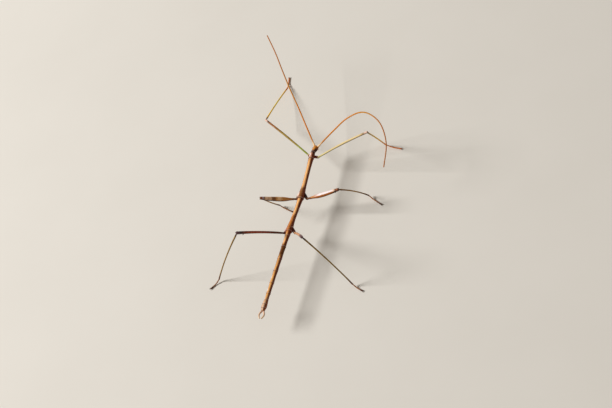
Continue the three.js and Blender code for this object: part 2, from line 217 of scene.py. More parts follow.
def bezier(start, middle, end, steps=80):
    """A quadratic curve pulled towards its middle point."""
    t = np.linspace(0, 1, steps + 1)[:, None]
    return Line((1 - t) ** 2 * start + 2 * t * (1 - t) * middle + t**2 * end)


def bowed(start, end, bow=0.0):
    """A line whose middle stands a little above the straight way between its ends."""
    above = Line((start, end)).at(0)[3][0]
    return bezier(start, (start + end) / 2 + 2 * bow * above, end)


def smooth(points, steps=60):
    """A centripetal Catmull-Rom curve through the points."""
    points = np.asarray(points, float)
    padded = np.vstack((2 * points[0] - points[1], points, 2 * points[-1] - points[-2]))
    t = np.linspace(0, 1, steps, endpoint=False)[:, None]
    runs = []
    for before, start, end, after in zip(padded, padded[1:], padded[2:], padded[3:]):
        gaps = [np.sqrt(np.linalg.norm(b - a)) for a, b in ((before, start), (start, end), (end, after))]
        leave = (start - before) / gaps[0] - (end - before) / (gaps[0] + gaps[1]) + (end - start) / gaps[1]
        arrive = (end - start) / gaps[1] - (after - start) / (gaps[1] + gaps[2]) + (after - end) / gaps[2]
        leave, arrive = leave * gaps[1], arrive * gaps[1]
        bend = -3 * start + 3 * end - 2 * leave - arrive
        turn = 2 * start - 2 * end + leave + arrive
        runs.append(start + leave * t + bend * t**2 + turn * t**3)
    return Line(np.vstack((*runs, points[-1:])))


def spine_line():
    """The spine from the tail to the face, and the places of the hips on it."""
    hips = {"mid_to_hind_hip": np.array((0.0, 0.0, HIND_HIP_HEIGHT))}
    steps = ("mid_to_hind_hip", "front_to_mid_hip", "neck_to_front_hip", "face_to_neck", "face")
    for here, there in zip(steps, steps[1:]):
        length, yaw, rise = SPINE[here]
        hips[there] = hips[here] + length * heading(yaw, rise)
    length, yaw, rise = SPINE["hind_hip_to_tail"]
    tail = hips["mid_to_hind_hip"] - length * heading(yaw, rise)
    return smooth([tail, *(hips[step] for step in steps)]), hips


def leg_lines(leg):
    """The centre lines of a leg's lengths, and the tip of its foot."""
    side, pair_name = leg.split("_")
    pair, pose = PAIRS[pair_name], POSES[leg]
    beside_spine = (pair["hip_forward"], SIDES[side] * pair["hip_out"], -pair["hip_down"])
    hip = HIPS[pair["hip"]] + np.array(beside_spine)
    coxa_way = heading(*pose.coxa)
    socket = hip + pair["coxa"] * coxa_way
    knee = socket + pair["femur"] * heading(*pose.femur)
    drop = math.degrees(math.asin((knee[2] - ANKLE_HEIGHT) / pair["tibia"]))
    ankle = knee + pair["tibia"] * heading(pose.tibia_yaw, -drop)
    toe = ankle + pair["tarsus"] * heading(pose.tarsus_yaw, 0)
    toe[2] = TARSUS_TIP_HEIGHT
    instep = ankle + INSTEP_SHARE * (toe - ankle)
    instep[2] = TARSUS_TIP_HEIGHT + INSTEP_UP
    lines = {
        "coxa": bowed(hip - COXA_ROOT_DEPTH * coxa_way, socket),
        "femur": bowed(socket, knee, pair["femur_bow"]),
        "tibia": bowed(knee, ankle, pose.tibia_bow),
        "tarsus": smooth([ankle, instep, toe]),
    }
    return lines, toe


# The solid of the head: how far it stops short of its length's ends, and how many sides it has.
JOINT_GAP = 0.05
HEAD_SIDES = 12


def frame_shift():
    """From the lines' origin to the frame's: the head's solid, drawn again, is laid on its box."""
    low, high = (np.array(corner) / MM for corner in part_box("head"))
    _, length, widths = TRUNK[-1]
    stations = SPINE_LINE.length - length + np.linspace(JOINT_GAP, length - JOINT_GAP, len(widths))
    places, _, right, up = SPINE_LINE.at(stations)
    angles = np.arange(HEAD_SIDES) * math.tau / HEAD_SIDES
    half = np.array(widths)[:, None, None] / 2
    ring = places[:, None] + half * (
        right[:, None] * np.sin(angles)[None, :, None]
        + up[:, None] * np.cos(angles)[None, :, None] * TRUNK_FLATNESS
    )
    ring = ring.reshape(-1, 3)
    return (low + high) / 2 - (ring.min(0) + ring.max(0)) / 2


SPINE_LINE, HIPS = spine_line()
LEG_LINES = {f"{side}_{pair}": leg_lines(f"{side}_{pair}") for side in SIDES for pair in PAIRS}
LEG_LENGTHS = {
    pair: {part: line.length for part, line in LEG_LINES[f"left_{pair}"][0].items()} for pair in PAIRS
}
SHIFT = frame_shift()

# ---- Skins -------------------------------------------------------------------------------

CAP_RINGS = 7


def smooth_values(at, knots, values):
    """Values on a smooth curve through the knots."""
    knots, values = np.asarray(knots, float), np.asarray(values, float)
    slopes = np.gradient(values, knots)
    index = np.clip(np.searchsorted(knots, at, side="right") - 1, 0, len(knots) - 2)
    span = knots[index + 1] - knots[index]
    t = np.clip((at - knots[index]) / span, 0, 1)
    start, end = values[index], values[index + 1]
    leave, arrive = slopes[index] * span, slopes[index + 1] * span
    return (
        start * (1 + 2 * t) * (1 - t) ** 2
        + leave * t * (1 - t) ** 2
        + end * t**2 * (3 - 2 * t)
        - arrive * t**2 * (1 - t)
    )


def bell(values, middle, reach):
    """1 at the middle, falling off smoothly within about the reach."""
    return np.exp(-(((values - middle) / reach) ** 2))


def stations_of(length, cap, spacing):
    """Ring places of a skin with domed ends that reach past its two ends by cap."""
    body = np.linspace(0, length, max(3, math.ceil(length / spacing)) + 1)
    turn = np.linspace(0, math.pi / 2, CAP_RINGS + 1)
    return np.concatenate((-cap * np.cos(turn)[:-1], body, length + cap * np.sin(turn)[1:]))


def doming(stations, length, cap):
    """1 along a skin, falling to 0 round its domed ends."""
    before = np.clip(-stations / cap, 0, 1)
    after = np.clip((stations - length) / cap, 0, 1)
    return np.sqrt(1 - before**2) * np.sqrt(1 - after**2)


def closed_skin(rings, poles):
    """Points and faces of a skin over rings of points, closed at a pole before and after them."""
    count, around, _ = rings.shape
    points = np.vstack((poles[:1], rings.reshape(-1, 3), poles[1:]))
    last = len(points) - 1
    following = [(step + 1) % around for step in range(around)]
    faces = [(0, 1 + step, 1 + after) for step, after in enumerate(following)]
    for ring in range(count - 1):
        here, there = 1 + ring * around, 1 + (ring + 1) * around
        for step, after in enumerate(following):
            faces.append((here + step, there + step, there + after, here + after))
    end = last - around
    faces += [(last, end + after, end + step) for step, after in enumerate(following)]
    return points, faces


def loft(line, stations, section, around):
    """A closed skin whose rings stand at the stations of a line, with a pole at the outer two.

    The section gives how far each ring point lies to the right and up, from its station and
    its angle, which runs from the right over the top.
    """
    angles = np.arange(around) * math.tau / around
    places, _, right, up = line.at(stations[1:-1])
    out, rise = section(stations[1:-1, None], angles[None, :])
    rings = places[:, None] + right[:, None] * out[..., None] + up[:, None] * rise[..., None]
    return closed_skin(rings, line.at(stations[[0, -1]])[0])


# Rings set close together where a limb is pinched, as shares of the pinch's reach.
PINCH_RINGS = np.linspace(-1.8, 1.8, 9)


def limb(line, widths, cap, spacing=0.2, around=20, keels=0.05, depth=1.0, pinches=()):
    """A length of limb with four soft keels; a pinch is (place, how deep, how long)."""
    knots = np.linspace(0, line.length, len(widths))
    stations = stations_of(line.length, cap, spacing)
    for place, _, reach in pinches:
        stations = np.union1d(stations, place + reach * PINCH_RINGS)

    def section(distance, angle):
        half = smooth_values(np.clip(distance, 0, line.length), knots, widths) / 2
        for place, deep, reach in pinches:
            half = half - deep * bell(distance, place, reach)
        half = half * doming(distance, line.length, cap)
        half = half * (1 - keels / 2 + keels * np.abs(np.cos(2 * angle + math.pi / 2)) ** 3)
        return half * np.cos(angle), half * depth * np.sin(angle)

    return loft(line, stations, section, around)


def egg(centre, forward, right, up, half, around=24, rings=16):
    """An egg-shaped skin with its poles fore and aft."""
    turn = np.linspace(0, math.pi, rings + 1)[1:-1, None, None]
    angles = (np.arange(around) * math.tau / around)[:, None]
    ring_points = (
        centre
        - forward * half[0] * np.cos(turn)
        + right * half[1] * np.sin(turn) * np.cos(angles)
        + up * half[2] * np.sin(turn) * np.sin(angles)
    )
    return closed_skin(ring_points, np.stack((centre - forward * half[0], centre + forward * half[0])))


def spine_egg(place, half, around=24, rings=16):
    """An egg laid along the spine at a distance behind the face, out and up."""
    behind, out, up = place
    distance = SPINE_LINE.length - behind
    _, forward, right, above = SPINE_LINE.at(distance)
    return egg(SPINE_LINE.place(distance, -out, up), forward[0], right[0], above[0], half, around, rings)


def grounded(skin):
    """A skin whose lowest points are pressed flat on the floor."""
    points, faces = skin
    points[:, 2] = np.maximum(points[:, 2], 0)
    return points, faces


# ---- Objects -----------------------------------------------------------------------------

# Points nearer than this, in metres, are one; how closely a line is sampled, in millimetres; and
# how near its line, in millimetres, a point still has a side.
MERGE_DISTANCE = 1e-7
LINE_STEP = 0.1
LEAST_REACH = 1e-6


def object_from(name, skin):
    """A mesh object in the shared frame, in metres, from a skin in millimetres."""
    points, faces = skin
    mesh = bpy.data.meshes.new(name)
    mesh.from_pydata(((points + SHIFT) * MM).tolist(), [], faces)
    made = bpy.data.objects.new(name, mesh)
    bpy.context.scene.collection.objects.link(made)
    tidy_faces(mesh)
    return made


def tidy_faces(mesh):
    """Turns every face outward after double points are merged."""
    work = bmesh.new()
    work.from_mesh(mesh)
    bmesh.ops.remove_doubles(work, verts=work.verts, dist=MERGE_DISTANCE)
    bmesh.ops.recalc_face_normals(work, faces=work.faces)
    work.to_mesh(mesh)
    work.free()


def evaluated_mesh(made):
    """A plain mesh of an object with its modifiers applied."""
    bpy.context.view_layer.update()
    graph = bpy.context.evaluated_depsgraph_get()
    return bpy.data.meshes.new_from_object(made.evaluated_get(graph))


def joined(name, skins):
    """One closed skin from several that overlap, with nothing left inside."""
    whole = object_from(name, skins[0])
    others = [object_from(f"{name}_part", skin) for skin in skins[1:]]
    for other in others:
        join = whole.modifiers.new("Join", "BOOLEAN")
        join.operation = "UNION"
        join.solver = "MANIFOLD"
        join.object = other
    mesh = evaluated_mesh(whole)
    whole.modifiers.clear()
    whole.data = mesh
    for other in others:
        bpy.data.objects.remove(other)
    return whole


def mark_places(mesh, lines, before=0.0, total=None):
    """Gives each vertex its place along and round the lines, for the patterns to follow.

    travel runs from 0 to 1 over all the lines, top from -1 under to 1 above, side from -1 at
    the left to 1 at the right, and grain holds the straightened place in metres: along, to the
    right and up.
    """
    starts = before + np.concatenate(([0.0], np.cumsum([line.length for line in lines])))
    total = total or starts[-1]
    samples = [np.linspace(0, line.length, max(2, int(line.length / LINE_STEP))) for line in lines]
    frames = [line.at(sample) for line, sample in zip(lines, samples)]
    places, forward, right, up = (np.vstack([f[part] for f in frames]) for part in range(4))
    along = np.concatenate([start + sample for start, sample in zip(starts, samples)])
    tree = KDTree(len(places))
    for index, place in enumerate(places):
        tree.insert(place, index)
    tree.balance()
    points = np.array([vertex.co for vertex in mesh.vertices]) / MM - SHIFT
    nearest = np.array([tree.find(point)[1] for point in points])
    offset = points - places[nearest]
    ahead = (offset * forward[nearest]).sum(1)
    out = (offset * right[nearest]).sum(1)
    rise = (offset * up[nearest]).sum(1)
    reach = np.maximum(np.hypot(out, rise), LEAST_REACH)
    along = along[nearest] + ahead
    for name, values in (("travel", along / total), ("top", rise / reach), ("side", out / reach)):
        attribute = mesh.attributes.new(name, "FLOAT", "POINT")
        attribute.data.foreach_set("value", values.astype(np.float32))
    grain = mesh.attributes.new("grain", "FLOAT_VECTOR", "POINT")
    grain.data.foreach_set("vector", (np.stack((along, out, rise), 1) * MM).astype(np.float32).ravel())


def finish_piece(made, material, nodes, sharp=50):
    """Smooths a finished piece, gives it its material, and sets it in the frame."""
    made.data.materials.clear()
    made.data.materials.append(material)
    made.data.shade_smooth()
    made.data.set_sharp_from_angle(angle=math.radians(sharp))
    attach(made, BODY)
    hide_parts(*nodes)
    return made


# ---- Materials ---------------------------------------------------------------------------


def linear(colour):
    """Linear RGBA from an sRGB hex colour."""
    parts = [int(colour[place : place + 2], 16) / 255 for place in (1, 3, 5)]
    return (*(p / 12.92 if p <= 0.04045 else ((p + 0.055) / 1.055) ** 2.4 for p in parts), 1.0)


def per_mm(millimetres):
    """Texture scale that repeats once in this many millimetres."""
    return 1 / (millimetres * MM)


def new_material(name):
    """An empty node material and its tree."""
    material = bpy.data.materials.new(name)
    material.use_nodes = True
    material.node_tree.nodes.clear()
    return material, material.node_tree


# How a value is brought from one range to another, easing out of the first end and into the last.
SOFT_ENDS = {"interpolation_type": "SMOOTHSTEP"}


def add_node(tree, kind, settings=None, inputs=None, output=None):
    """Adds a node with its settings and inputs, and gives its named output or the first in use.

    A colour ramp's stops are one of its settings, and an input is named by its name or its
    place, and is a value or another node's output.
    """
    node = tree.nodes.new(kind)
    for name, value in (settings or {}).items():
        if name != "stops":
            setattr(node, name, value)
            continue
        elements = node.color_ramp.elements
        for place, colour in value[1:-1]:
            elements.new(place).color = colour
        elements[0].position, elements[0].color = value[0]
        elements[-1].position, elements[-1].color = value[-1]
    for name, value in (inputs or {}).items():
        found = (slot for slot in node.inputs if slot.enabled and slot.name == name)
        socket = node.inputs[name] if isinstance(name, int) else next(found)
        if isinstance(value, bpy.types.NodeSocket):
            tree.links.new(value, socket)
        else:
            socket.default_value = value
    found = (slot for slot in node.outputs if slot.enabled and output in (None, slot.name))
    return next(found, None)


def laid_over(tree, colour, other, value, low, high, share=1.0, mode="MIX"):
    """A colour with another laid over it, up to a share, as a value goes softly from low to high."""
    cover = add_node(tree, "ShaderNodeMapRange", SOFT_ENDS, {
        "Value": value, "From Min": low, "From Max": high, "To Max": share,
    })
    settings = {"data_type": "RGBA", "blend_type": mode, "clamp_result": True}
    return add_node(tree, "ShaderNodeMix", settings, {"Factor": cover, "A": colour, "B": other})


def clouded(tree, place, size_mm, stretch=(1, 1, 1), detail=3.0, roughness=0.55):
    """Soft noise whose blotches are about size_mm across, stretched along the grain."""
    scale = [1 / share for share in stretch]
    moved = add_node(tree, "ShaderNodeMapping", None, {"Vector": place, "Scale": scale})
    inputs = {"Vector": moved, "Scale": per_mm(size_mm), "Detail": detail, "Roughness": roughness}
    return add_node(tree, "ShaderNodeTexNoise", None, inputs)


def worn(tree, place, size_mm, smoothest, roughest):
    """Roughness that wanders between two values over patches about size_mm across."""
    return add_node(tree, "ShaderNodeMapRange", SOFT_ENDS, {
        "Value": clouded(tree, place, size_mm), "From Min": 0.3, "From Max": 0.7,
        "To Min": smoothest, "To Max": roughest,
    })


def summed(tree, *terms):
    """Weighted sum of values, each given as (value, weight)."""
    total = None
    for value, weight in terms:
        inputs = {0: value, 1: weight, 2: 0.0 if total is None else total}
        total = add_node(tree, "ShaderNodeMath", {"operation": "MULTIPLY_ADD"}, inputs)
    return total


# What every cuticle shares: the wrinkles, streaks and grains of its bump with the share that each
# has in its height, its pores, and how it bends light.
WRINKLE_STRETCH, STREAK_STRETCH = (1, 5, 5), (9, 1, 1)
GRAIN_MM, GRAIN_SOFTNESS = 0.28, 0.6
WRINKLE_SHARE, STREAK_SHARE, GRAIN_SHARE = 0.45, 0.35, -0.5
BUMP_STRENGTH = 0.8
PORE_EDGE = (0.46, 0.34)
PORE = "#3A1A0C"
CHITIN_IOR = 1.54
COAT_ROUGHNESS = 0.25

# Colours of the small marks: blotches and flecks, the far edge of a whip's rings, and the browns
# and greys that a surface clouds into.
TRUNK_BLOTCH, TRUNK_FLECK = "#7A4028", "#F2D2BC"
LEG_BLOTCH, LEG_FLECK = "#7A5034", "#E8D2B6"
RING_EDGE, WHIP_CLOUD = "#A86400", "#B08A38"
CLASPER_BLOTCH = "#A8683E"
HORN_CLOUD = "#5A3420"
FLOOR_CLOUD = "#CFC9BE"


def wrinkled(tree, grain, wrinkle_mm=0.16, streak_mm=0.12, depth_mm=0.04):
    """Bump of fine wrinkles across the limb, streaks along it, and small grains."""
    across = clouded(tree, grain, wrinkle_mm, WRINKLE_STRETCH)
    along = clouded(tree, grain, streak_mm, STREAK_STRETCH)
    grains = add_node(tree, "ShaderNodeTexVoronoi", {"feature": "SMOOTH_F1"}, {
        "Vector": grain, "Scale": per_mm(GRAIN_MM), "Smoothness": GRAIN_SOFTNESS,
    })
    height = summed(tree, (across, WRINKLE_SHARE), (along, STREAK_SHARE), (grains, GRAIN_SHARE))
    return add_node(tree, "ShaderNodeBump", None, {
        "Height": height, "Distance": depth_mm * MM, "Strength": BUMP_STRENGTH,
    })


def pored(tree, grain, colour, spacing_mm=0.3, share=0.5):
    """A colour peppered with small dark pores, some larger than others."""
    pores = add_node(tree, "ShaderNodeTexVoronoi", None, {
        "Vector": grain, "Scale": per_mm(spacing_mm), "Randomness": 1.0,
    }, "Distance")
    away = summed(tree, (pores, 1.0), (clouded(tree, grain, 0.8), 0.4))
    return laid_over(tree, colour, linear(PORE), away, *PORE_EDGE, share)


def cuticle_surface(material, tree, colour, normal, roughness, coat=0.0, shine=0.2):
    """Closes a cuticle material: satin chitin, and where there is a coat, a gloss over it."""
    surface = add_node(tree, "ShaderNodeBsdfPrincipled", None, {
        "Base Color": colour, "Normal": normal, "Roughness": roughness,
        "IOR": CHITIN_IOR, "Specular IOR Level": shine,
        "Coat Weight": coat, "Coat Roughness": COAT_ROUGHNESS,
    })
    add_node(tree, "ShaderNodeOutputMaterial", None, {"Surface": surface})
    return material


# Colours along the back and along the flanks: distance from the tail tip, and a trunk colour.
BACK_MARKS = (
    (3.0, "tail"), (5.5, "tail"), (9.0, "abdomen"), (24.6, "abdomen"), (26.0, "saddle"),
    (29.4, "saddle"), (30.6, "back"), (34.0, "back"), (35.4, "hind_hips"), (41.0, "hind_hips"),
    (43.4, "back"), (49.0, "back"), (50.2, "mid_hips"), (53.4, "mid_hips"), (55.4, "back"),
    (66.6, "back"), (67.8, "collar"), (69.6, "collar"), (70.0, "neck"), (70.8, "neck"),
    (71.4, "head"), (73.7, "head"),
)
FLANK_MARKS = (
    (3.0, "tail_flank"), (7.4, "tail_flank"), (9.4, "flank"), (24.6, "flank"), (26.0, "saddle"),
    (29.4, "saddle"), (30.6, "flank"), (49.6, "flank"), (50.8, "mid_flank"), (52.8, "mid_flank"),
    (54.0, "flank"), (69.4, "flank"), (70.0, "neck"), (71.6, "neck"), (72.3, "cheek"), (73.7, "cheek"),
)

# Borders along the trunk, low and high, as heights round it: from flank to back, and from flank
# to belly. They lean up on the right side as painted shade, widening the dark flank there, and how
# much they waver is a share of the wobble.
BACK_EDGE, BELLY_EDGE = (1.0, 1.16), (-0.25, -0.6)
SHADE_LEAN, EDGE_WAVER = -0.15, 0.5


def trunk_bands(tree, travel, colours, marks):
    """The colours of one side of the trunk, from the tail to the face."""
    stops = [(place / SPINE_LINE.length, tuple(getattr(colours, name))) for place, name in marks]
    return add_node(tree, "ShaderNodeValToRGB", {"stops": stops}, {"Fac": travel})


def trunk_cuticle(colours):
    """Hardened chitin: a pale tan back with a crisp border to dark red-brown flanks.

    The flanks' dark is partly the animal's own colour and partly painted shade, reaching higher on
    the right; the folds between plates hold painted shade, the plates' rims and spots along the
    trunk carry painted highlights, the olive belly is partly painted reflection, and fine wrinkles
    break the gloss.
    """
    material, tree = new_material("chitin_cuticle_trunk")
    grain = add_node(tree, "ShaderNodeAttribute", {"attribute_name": "grain"}, output="Vector")
    travel, top, side, crease, rim, wax = (
        add_node(tree, "ShaderNodeAttribute", {"attribute_name": name}, output="Fac")
        for name in ("travel", "top", "side", "crease", "rim", "wax")
    )
    back = trunk_bands(tree, travel, colours, BACK_MARKS)
    # The flanks' dark red-brown is partly the animal's own and partly painted shade.
    flank = trunk_bands(tree, travel, colours, FLANK_MARKS)
    wobble = clouded(tree, grain, 1.6, (3, 1, 1))
    # The lean darkens the right flank higher up: painted shade.
    edge = summed(tree, (top, 1.0), (side, SHADE_LEAN), (wobble, EDGE_WAVER))
    colour = laid_over(tree, flank, back, edge, *BACK_EDGE)
    # The olive belly is partly the animal's own and partly painted reflection of warm bounce light.
    colour = laid_over(tree, colour, tuple(colours.belly), edge, *BELLY_EDGE)
    blotches = clouded(tree, grain, 0.9, (2.5, 1, 1), 4.0)
    colour = laid_over(tree, colour, linear(TRUNK_BLOTCH), blotches, 0.5, 0.72, 0.45, "MULTIPLY")
    flecks = clouded(tree, grain, 0.35, (1.6, 1, 1), 2.0)
    colour = laid_over(tree, colour, linear(TRUNK_FLECK), flecks, 0.6, 0.7, 0.3)
    colour = pored(tree, grain, colour)
    # Painted shade in the folds between the plates, darker where the skin tucks deeper.
    colour = laid_over(tree, colour, tuple(colours.crease), crease, 0.15, 0.9)
    # Painted highlight: a pale line along each plate's rim.
    colour = laid_over(tree, colour, tuple(colours.wax), rim, 0.3, 1.0, 0.3)
    # Painted highlights: pale glints in the listed spots.
    glint_cover = summed(tree, (wax, 1.0), (wobble, 0.3))
    colour = laid_over(tree, colour, tuple(colours.wax), glint_cover, 0.35, 0.95)
    roughness = worn(tree, grain, 0.6, 0.42, 0.6)
    return cuticle_surface(material, tree, colour, wrinkled(tree, grain), roughness)


# Colours along a leg: a length of the leg, the share of it, and a colour of that pair of legs.
HIP_MARKS = (("coxa", 0.0, "coxa"), ("coxa", 0.9, "coxa"))
THIGH_MARKS = {
    "front": (
        ("femur", 0.015, "thigh_root"), ("femur", 0.05, "thigh_green"), ("femur", 0.2, "thigh_green"),
        ("femur", 0.32, "thigh"), ("femur", 0.6, "thigh"), ("femur", 0.8, "thigh_orange"),
        ("femur", 0.9, "thigh_orange"),
    ),
    "mid": (
        ("femur", 0.03, "thigh_root"), ("femur", 0.12, "thigh_root"), ("femur", 0.2, "thigh"),
        ("femur", 0.42, "thigh"), ("femur", 0.48, "thigh_pale"), ("femur", 0.54, "thigh_pale"),
        ("femur", 0.6, "thigh"), ("femur", 0.65, "band"), ("femur", 0.71, "band"),
        ("femur", 0.75, "thigh_end"), ("femur", 0.9, "thigh_end"),
    ),
    "hind": (
        ("femur", 0.02, "thigh_root"), ("femur", 0.25, "thigh_root"), ("femur", 0.5, "thigh"),
        ("femur", 0.82, "thigh"),
    ),
}
KNEE_MARKS = (
    ("femur", 0.95, "knee_ring"), ("femur", 0.985, "knee"), ("tibia", 0.015, "knee"),
    ("tibia", 0.05, "knee_ring"),
)
SHIN_MARKS = {
    "front": (("tibia", 0.1, "shin"), ("tibia", 0.5, "shin_green"), ("tibia", 0.88, "shin")),
    "mid": (("tibia", 0.1, "shin"), ("tibia", 0.88, "shin")),
    "hind": (("tibia", 0.1, "shin"), ("tibia", 0.88, "shin")),
}
FOOT_MARKS = (
    ("tibia", 0.97, "ankle"), ("tarsus", 0.12, "foot"), ("tarsus", 0.85, "foot"), ("tarsus", 1.0, "ankle"),
)
# Colours of the underside, darker than the top as painted shade.
SHADED_UNDERSIDE_MARKS = (
    ("coxa", 0.0, "coxa"), ("femur", 0.1, "under"), ("femur", 0.9, "knee_ring"), ("tibia", 0.06, "under"),
    ("tibia", 0.5, "shin"), ("tibia", 0.95, "ankle"), ("tarsus", 0.2, "foot"), ("tarsus", 1.0, "ankle"),
)

# Where the underside's painted shade gives way to the bands above, low and high, as heights round
# a leg; it reaches higher on the legs that lay more in shade.
SHADE_EDGE = {
    "left_front": (-0.15, 0.45), "right_front": (-0.15, 0.45),
    "left_mid": (0.2, 0.6), "right_mid": (0.75, 1.1),
    "left_hind": (-0.15, 0.45), "right_hind": (-0.15, 0.45),
}

# Painted light that one leg has and its fellow lacks: painted highlights on lit thighs, hips and
# a knee, and warm painted bounce light on the lower side of the right middle thigh. Columns: the
# length of the leg, the colour, how strongly it lies, the shares of the length where it begins, is
# full, starts to thin and ends, and the heights round the leg where it fades in.
PAINTED_LIGHT_PATCHES = {
    "left_front": (),
    "right_front": (("femur", "#E2CC94", 0.85, (0.0, 0.1, 0.88, 0.98), (-0.1, 0.7)),),
    "left_mid": (
        ("coxa", "#F0CCB8", 0.9, (0.0, 0.1, 0.6, 0.9), (-0.2, 0.4)),
        ("femur", "#DCC4D0", 0.8, (0.94, 0.965, 0.985, 1.0), (0.6, 1.0)),
    ),
    "right_mid": (
        ("femur", "#B8681C", 0.85, (0.12, 0.32, 0.8, 0.92), (-0.3, 0.4)),
        ("femur", "#F4E8E8", 0.95, (0.24, 0.42, 0.84, 0.92), (0.95, 1.15)),
    ),
    "left_hind": (("coxa", "#E8B8B0", 0.8, (0.0, 0.2, 0.8, 1.0), (-0.2, 0.6)),),
    "right_hind": (("femur", "#C89468", 0.8, (0.0, 0.03, 0.85, 0.93), (-0.2, 0.5)),),
}

# How much of a patch shows at each of its four shares.
BARE, COVERED = linear("#000000"), linear("#FFFFFF")
LIGHT_PATCH_RAMP = (BARE, COVERED, COVERED, BARE)

# How much the borders between bands, and those between top and underside, waver with the wobble.
BAND_WAVER, SIDE_WAVER = 0.012, 0.6


def stops_along(pair_name, marks):
    """Turns marks given by part and share of that part into shares of the whole leg."""
    lengths = LEG_LENGTHS[pair_name]
    starts = dict(zip(lengths, np.cumsum([0.0, *lengths.values()])))
    whole = sum(lengths.values())
    return [((starts[part] + share * lengths[part]) / whole, colour) for part, share, colour in marks]


def leg_bands(tree, travel, pair_name, colours, marks):
    """The colours of one side of a leg, from hip to foot."""
    painted = [(part, share, tuple(getattr(colours, name))) for part, share, name in marks]
    stops = stops_along(pair_name, painted)
    return add_node(tree, "ShaderNodeValToRGB", {"stops": stops}, {"Fac": travel})


def leg_cuticle(leg, colours):
    """Hardened chitin, marked in bands down the leg, and darker underneath as painted shade.

    It gives each leg its own run of colours, so that knees and ankles read as knots on a twig,
    with painted highlights on the thighs, hips and knee that have them, and warm painted bounce
    light under one thigh.
    """
    pair_name = leg.split("_")[1]
    material, tree = new_material(f"chitin_cuticle_{leg}_leg")
    grain = add_node(tree, "ShaderNodeAttribute", {"attribute_name": "grain"}, output="Vector")
    travel, top = (
        add_node(tree, "ShaderNodeAttribute", {"attribute_name": name}, output="Fac")
        for name in ("travel", "top")
    )
    wobble = clouded(tree, grain, 0.8, (2, 1, 1))
    travel = summed(tree, (travel, 1.0), (wobble, BAND_WAVER))
    edge = summed(tree, (top, 1.0), (wobble, SIDE_WAVER))
    upper = (*HIP_MARKS, *THIGH_MARKS[pair_name], *KNEE_MARKS, *SHIN_MARKS[pair_name], *FOOT_MARKS)
    above = leg_bands(tree, travel, pair_name, colours, upper)
    shaded_below = leg_bands(tree, travel, pair_name, colours, SHADED_UNDERSIDE_MARKS)
    # Painted shade: the underside darker than the top.
    colour = laid_over(tree, shaded_below, above, edge, *SHADE_EDGE[leg])
    blotches = clouded(tree, grain, 0.7, (2.2, 1, 1), 4.0)
    colour = laid_over(tree, colour, linear(LEG_BLOTCH), blotches, 0.5, 0.68, 0.4, "MULTIPLY")
    flecks = clouded(tree, grain, 0.4, (1.5, 1, 1), 2.0)
    colour = laid_over(tree, colour, linear(LEG_FLECK), flecks, 0.6, 0.7, 0.3)
    # Painted highlights and painted bounce light, leg by leg.
    for part, patch, light_share, ends, heights in PAINTED_LIGHT_PATCHES[leg]:
        light_ramp = stops_along(pair_name, [(part, share, cover) for share, cover in zip(ends, LIGHT_PATCH_RAMP)])
        along = add_node(tree, "ShaderNodeValToRGB", {"stops": light_ramp}, {"Fac": travel})
        covered = summed(tree, (along, light_share))
        colour = laid_over(tree, colour, linear(patch), edge, *heights, covered)
    colour = pored(tree, grain, colour, spacing_mm=0.26, share=0.4)
    roughness = worn(tree, grain, 0.5, 0.36, 0.55)
    normal = wrinkled(tree, grain, wrinkle_mm=0.14, streak_mm=0.1, depth_mm=0.028)
    return cuticle_surface(material, tree, colour, normal, roughness)


def antenna_cuticle(colours):
    """Chitin drawn into a whip: orange near the head, dulling to tan, each ring dark at its far end.

    It gives the antenna a warm, finely banded thread that fades towards its tip.
    """
    material, tree = new_material("chitin_cuticle_antenna")
    grain = add_node(tree, "ShaderNodeAttribute", {"attribute_name": "grain"}, output="Vector")
    travel, ring = (
        add_node(tree, "ShaderNodeAttribute", {"attribute_name": name}, output="Fac")
        for name in ("travel", "ring")
    )
    marks = (
        (0.0, colours.base), (0.03, colours.base), (0.06, colours.root), (0.34, colours.root),
        (0.5, colours.middle), (0.68, colours.tip), (1.0, colours.tip),
    )
    stops = [(share, tuple(tint)) for share, tint in marks]
    colour = add_node(tree, "ShaderNodeValToRGB", {"stops": stops}, {"Fac": travel})
    colour = laid_over(tree, colour, linear(RING_EDGE), ring, 0.82, 1.0, 0.5)
    cloud = clouded(tree, grain, 0.5, (3, 1, 1))
    colour = laid_over(tree, colour, linear(WHIP_CLOUD), cloud, 0.45, 0.7, 0.35)
    normal = wrinkled(tree, grain, wrinkle_mm=0.1, streak_mm=0.1, depth_mm=0.01)
    return cuticle_surface(material, tree, colour, normal, 0.7, shine=0.03)


def mouth_cuticle(colours):
    """Chitin, thin and soft, clouded between the colours of the cheek and the top of the head.

    It keeps the jaws and feelers a shade duller than the head above them.
    """
    material, tree = new_material("chitin_cuticle_mouthparts")
    place = add_node(tree, "ShaderNodeTexCoord", output="Object")
    cloud = clouded(tree, place, 0.5)
    colour = laid_over(tree, tuple(colours.cheek), tuple(colours.head), cloud, 0.35, 0.65)
    normal = wrinkled(tree, place, wrinkle_mm=0.12, streak_mm=0.12, depth_mm=0.01)
    return cuticle_surface(material, tree, colour, normal, 0.42)


FACET_MM = 0.06
FACET_DEPTH = 0.008


def eye_cornea(colours):
    """Compound eye: a glassy cornea of fine hexagons over dark red-brown pigment.

    The facets are drawn about twice their real size, so that they can be made out.
    """
    material, tree = new_material("chitin_cornea_faceted")
    place = add_node(tree, "ShaderNodeTexCoord", output="Object")
    facets = add_node(tree, "ShaderNodeTexVoronoi", None, {
        "Vector": place, "Scale": per_mm(FACET_MM), "Randomness": 0.15,
    })
    cloud = clouded(tree, place, 0.35)
    colour = laid_over(tree, tuple(colours.eye), tuple(colours.eye_glow), cloud, 0.3, 0.7)
    normal = add_node(tree, "ShaderNodeBump", None, {
        "Height": facets, "Distance": FACET_DEPTH * MM, "Strength": -0.5,
    })
    return cuticle_surface(material, tree, colour, normal, 0.16, coat=0.6, shine=0.5)


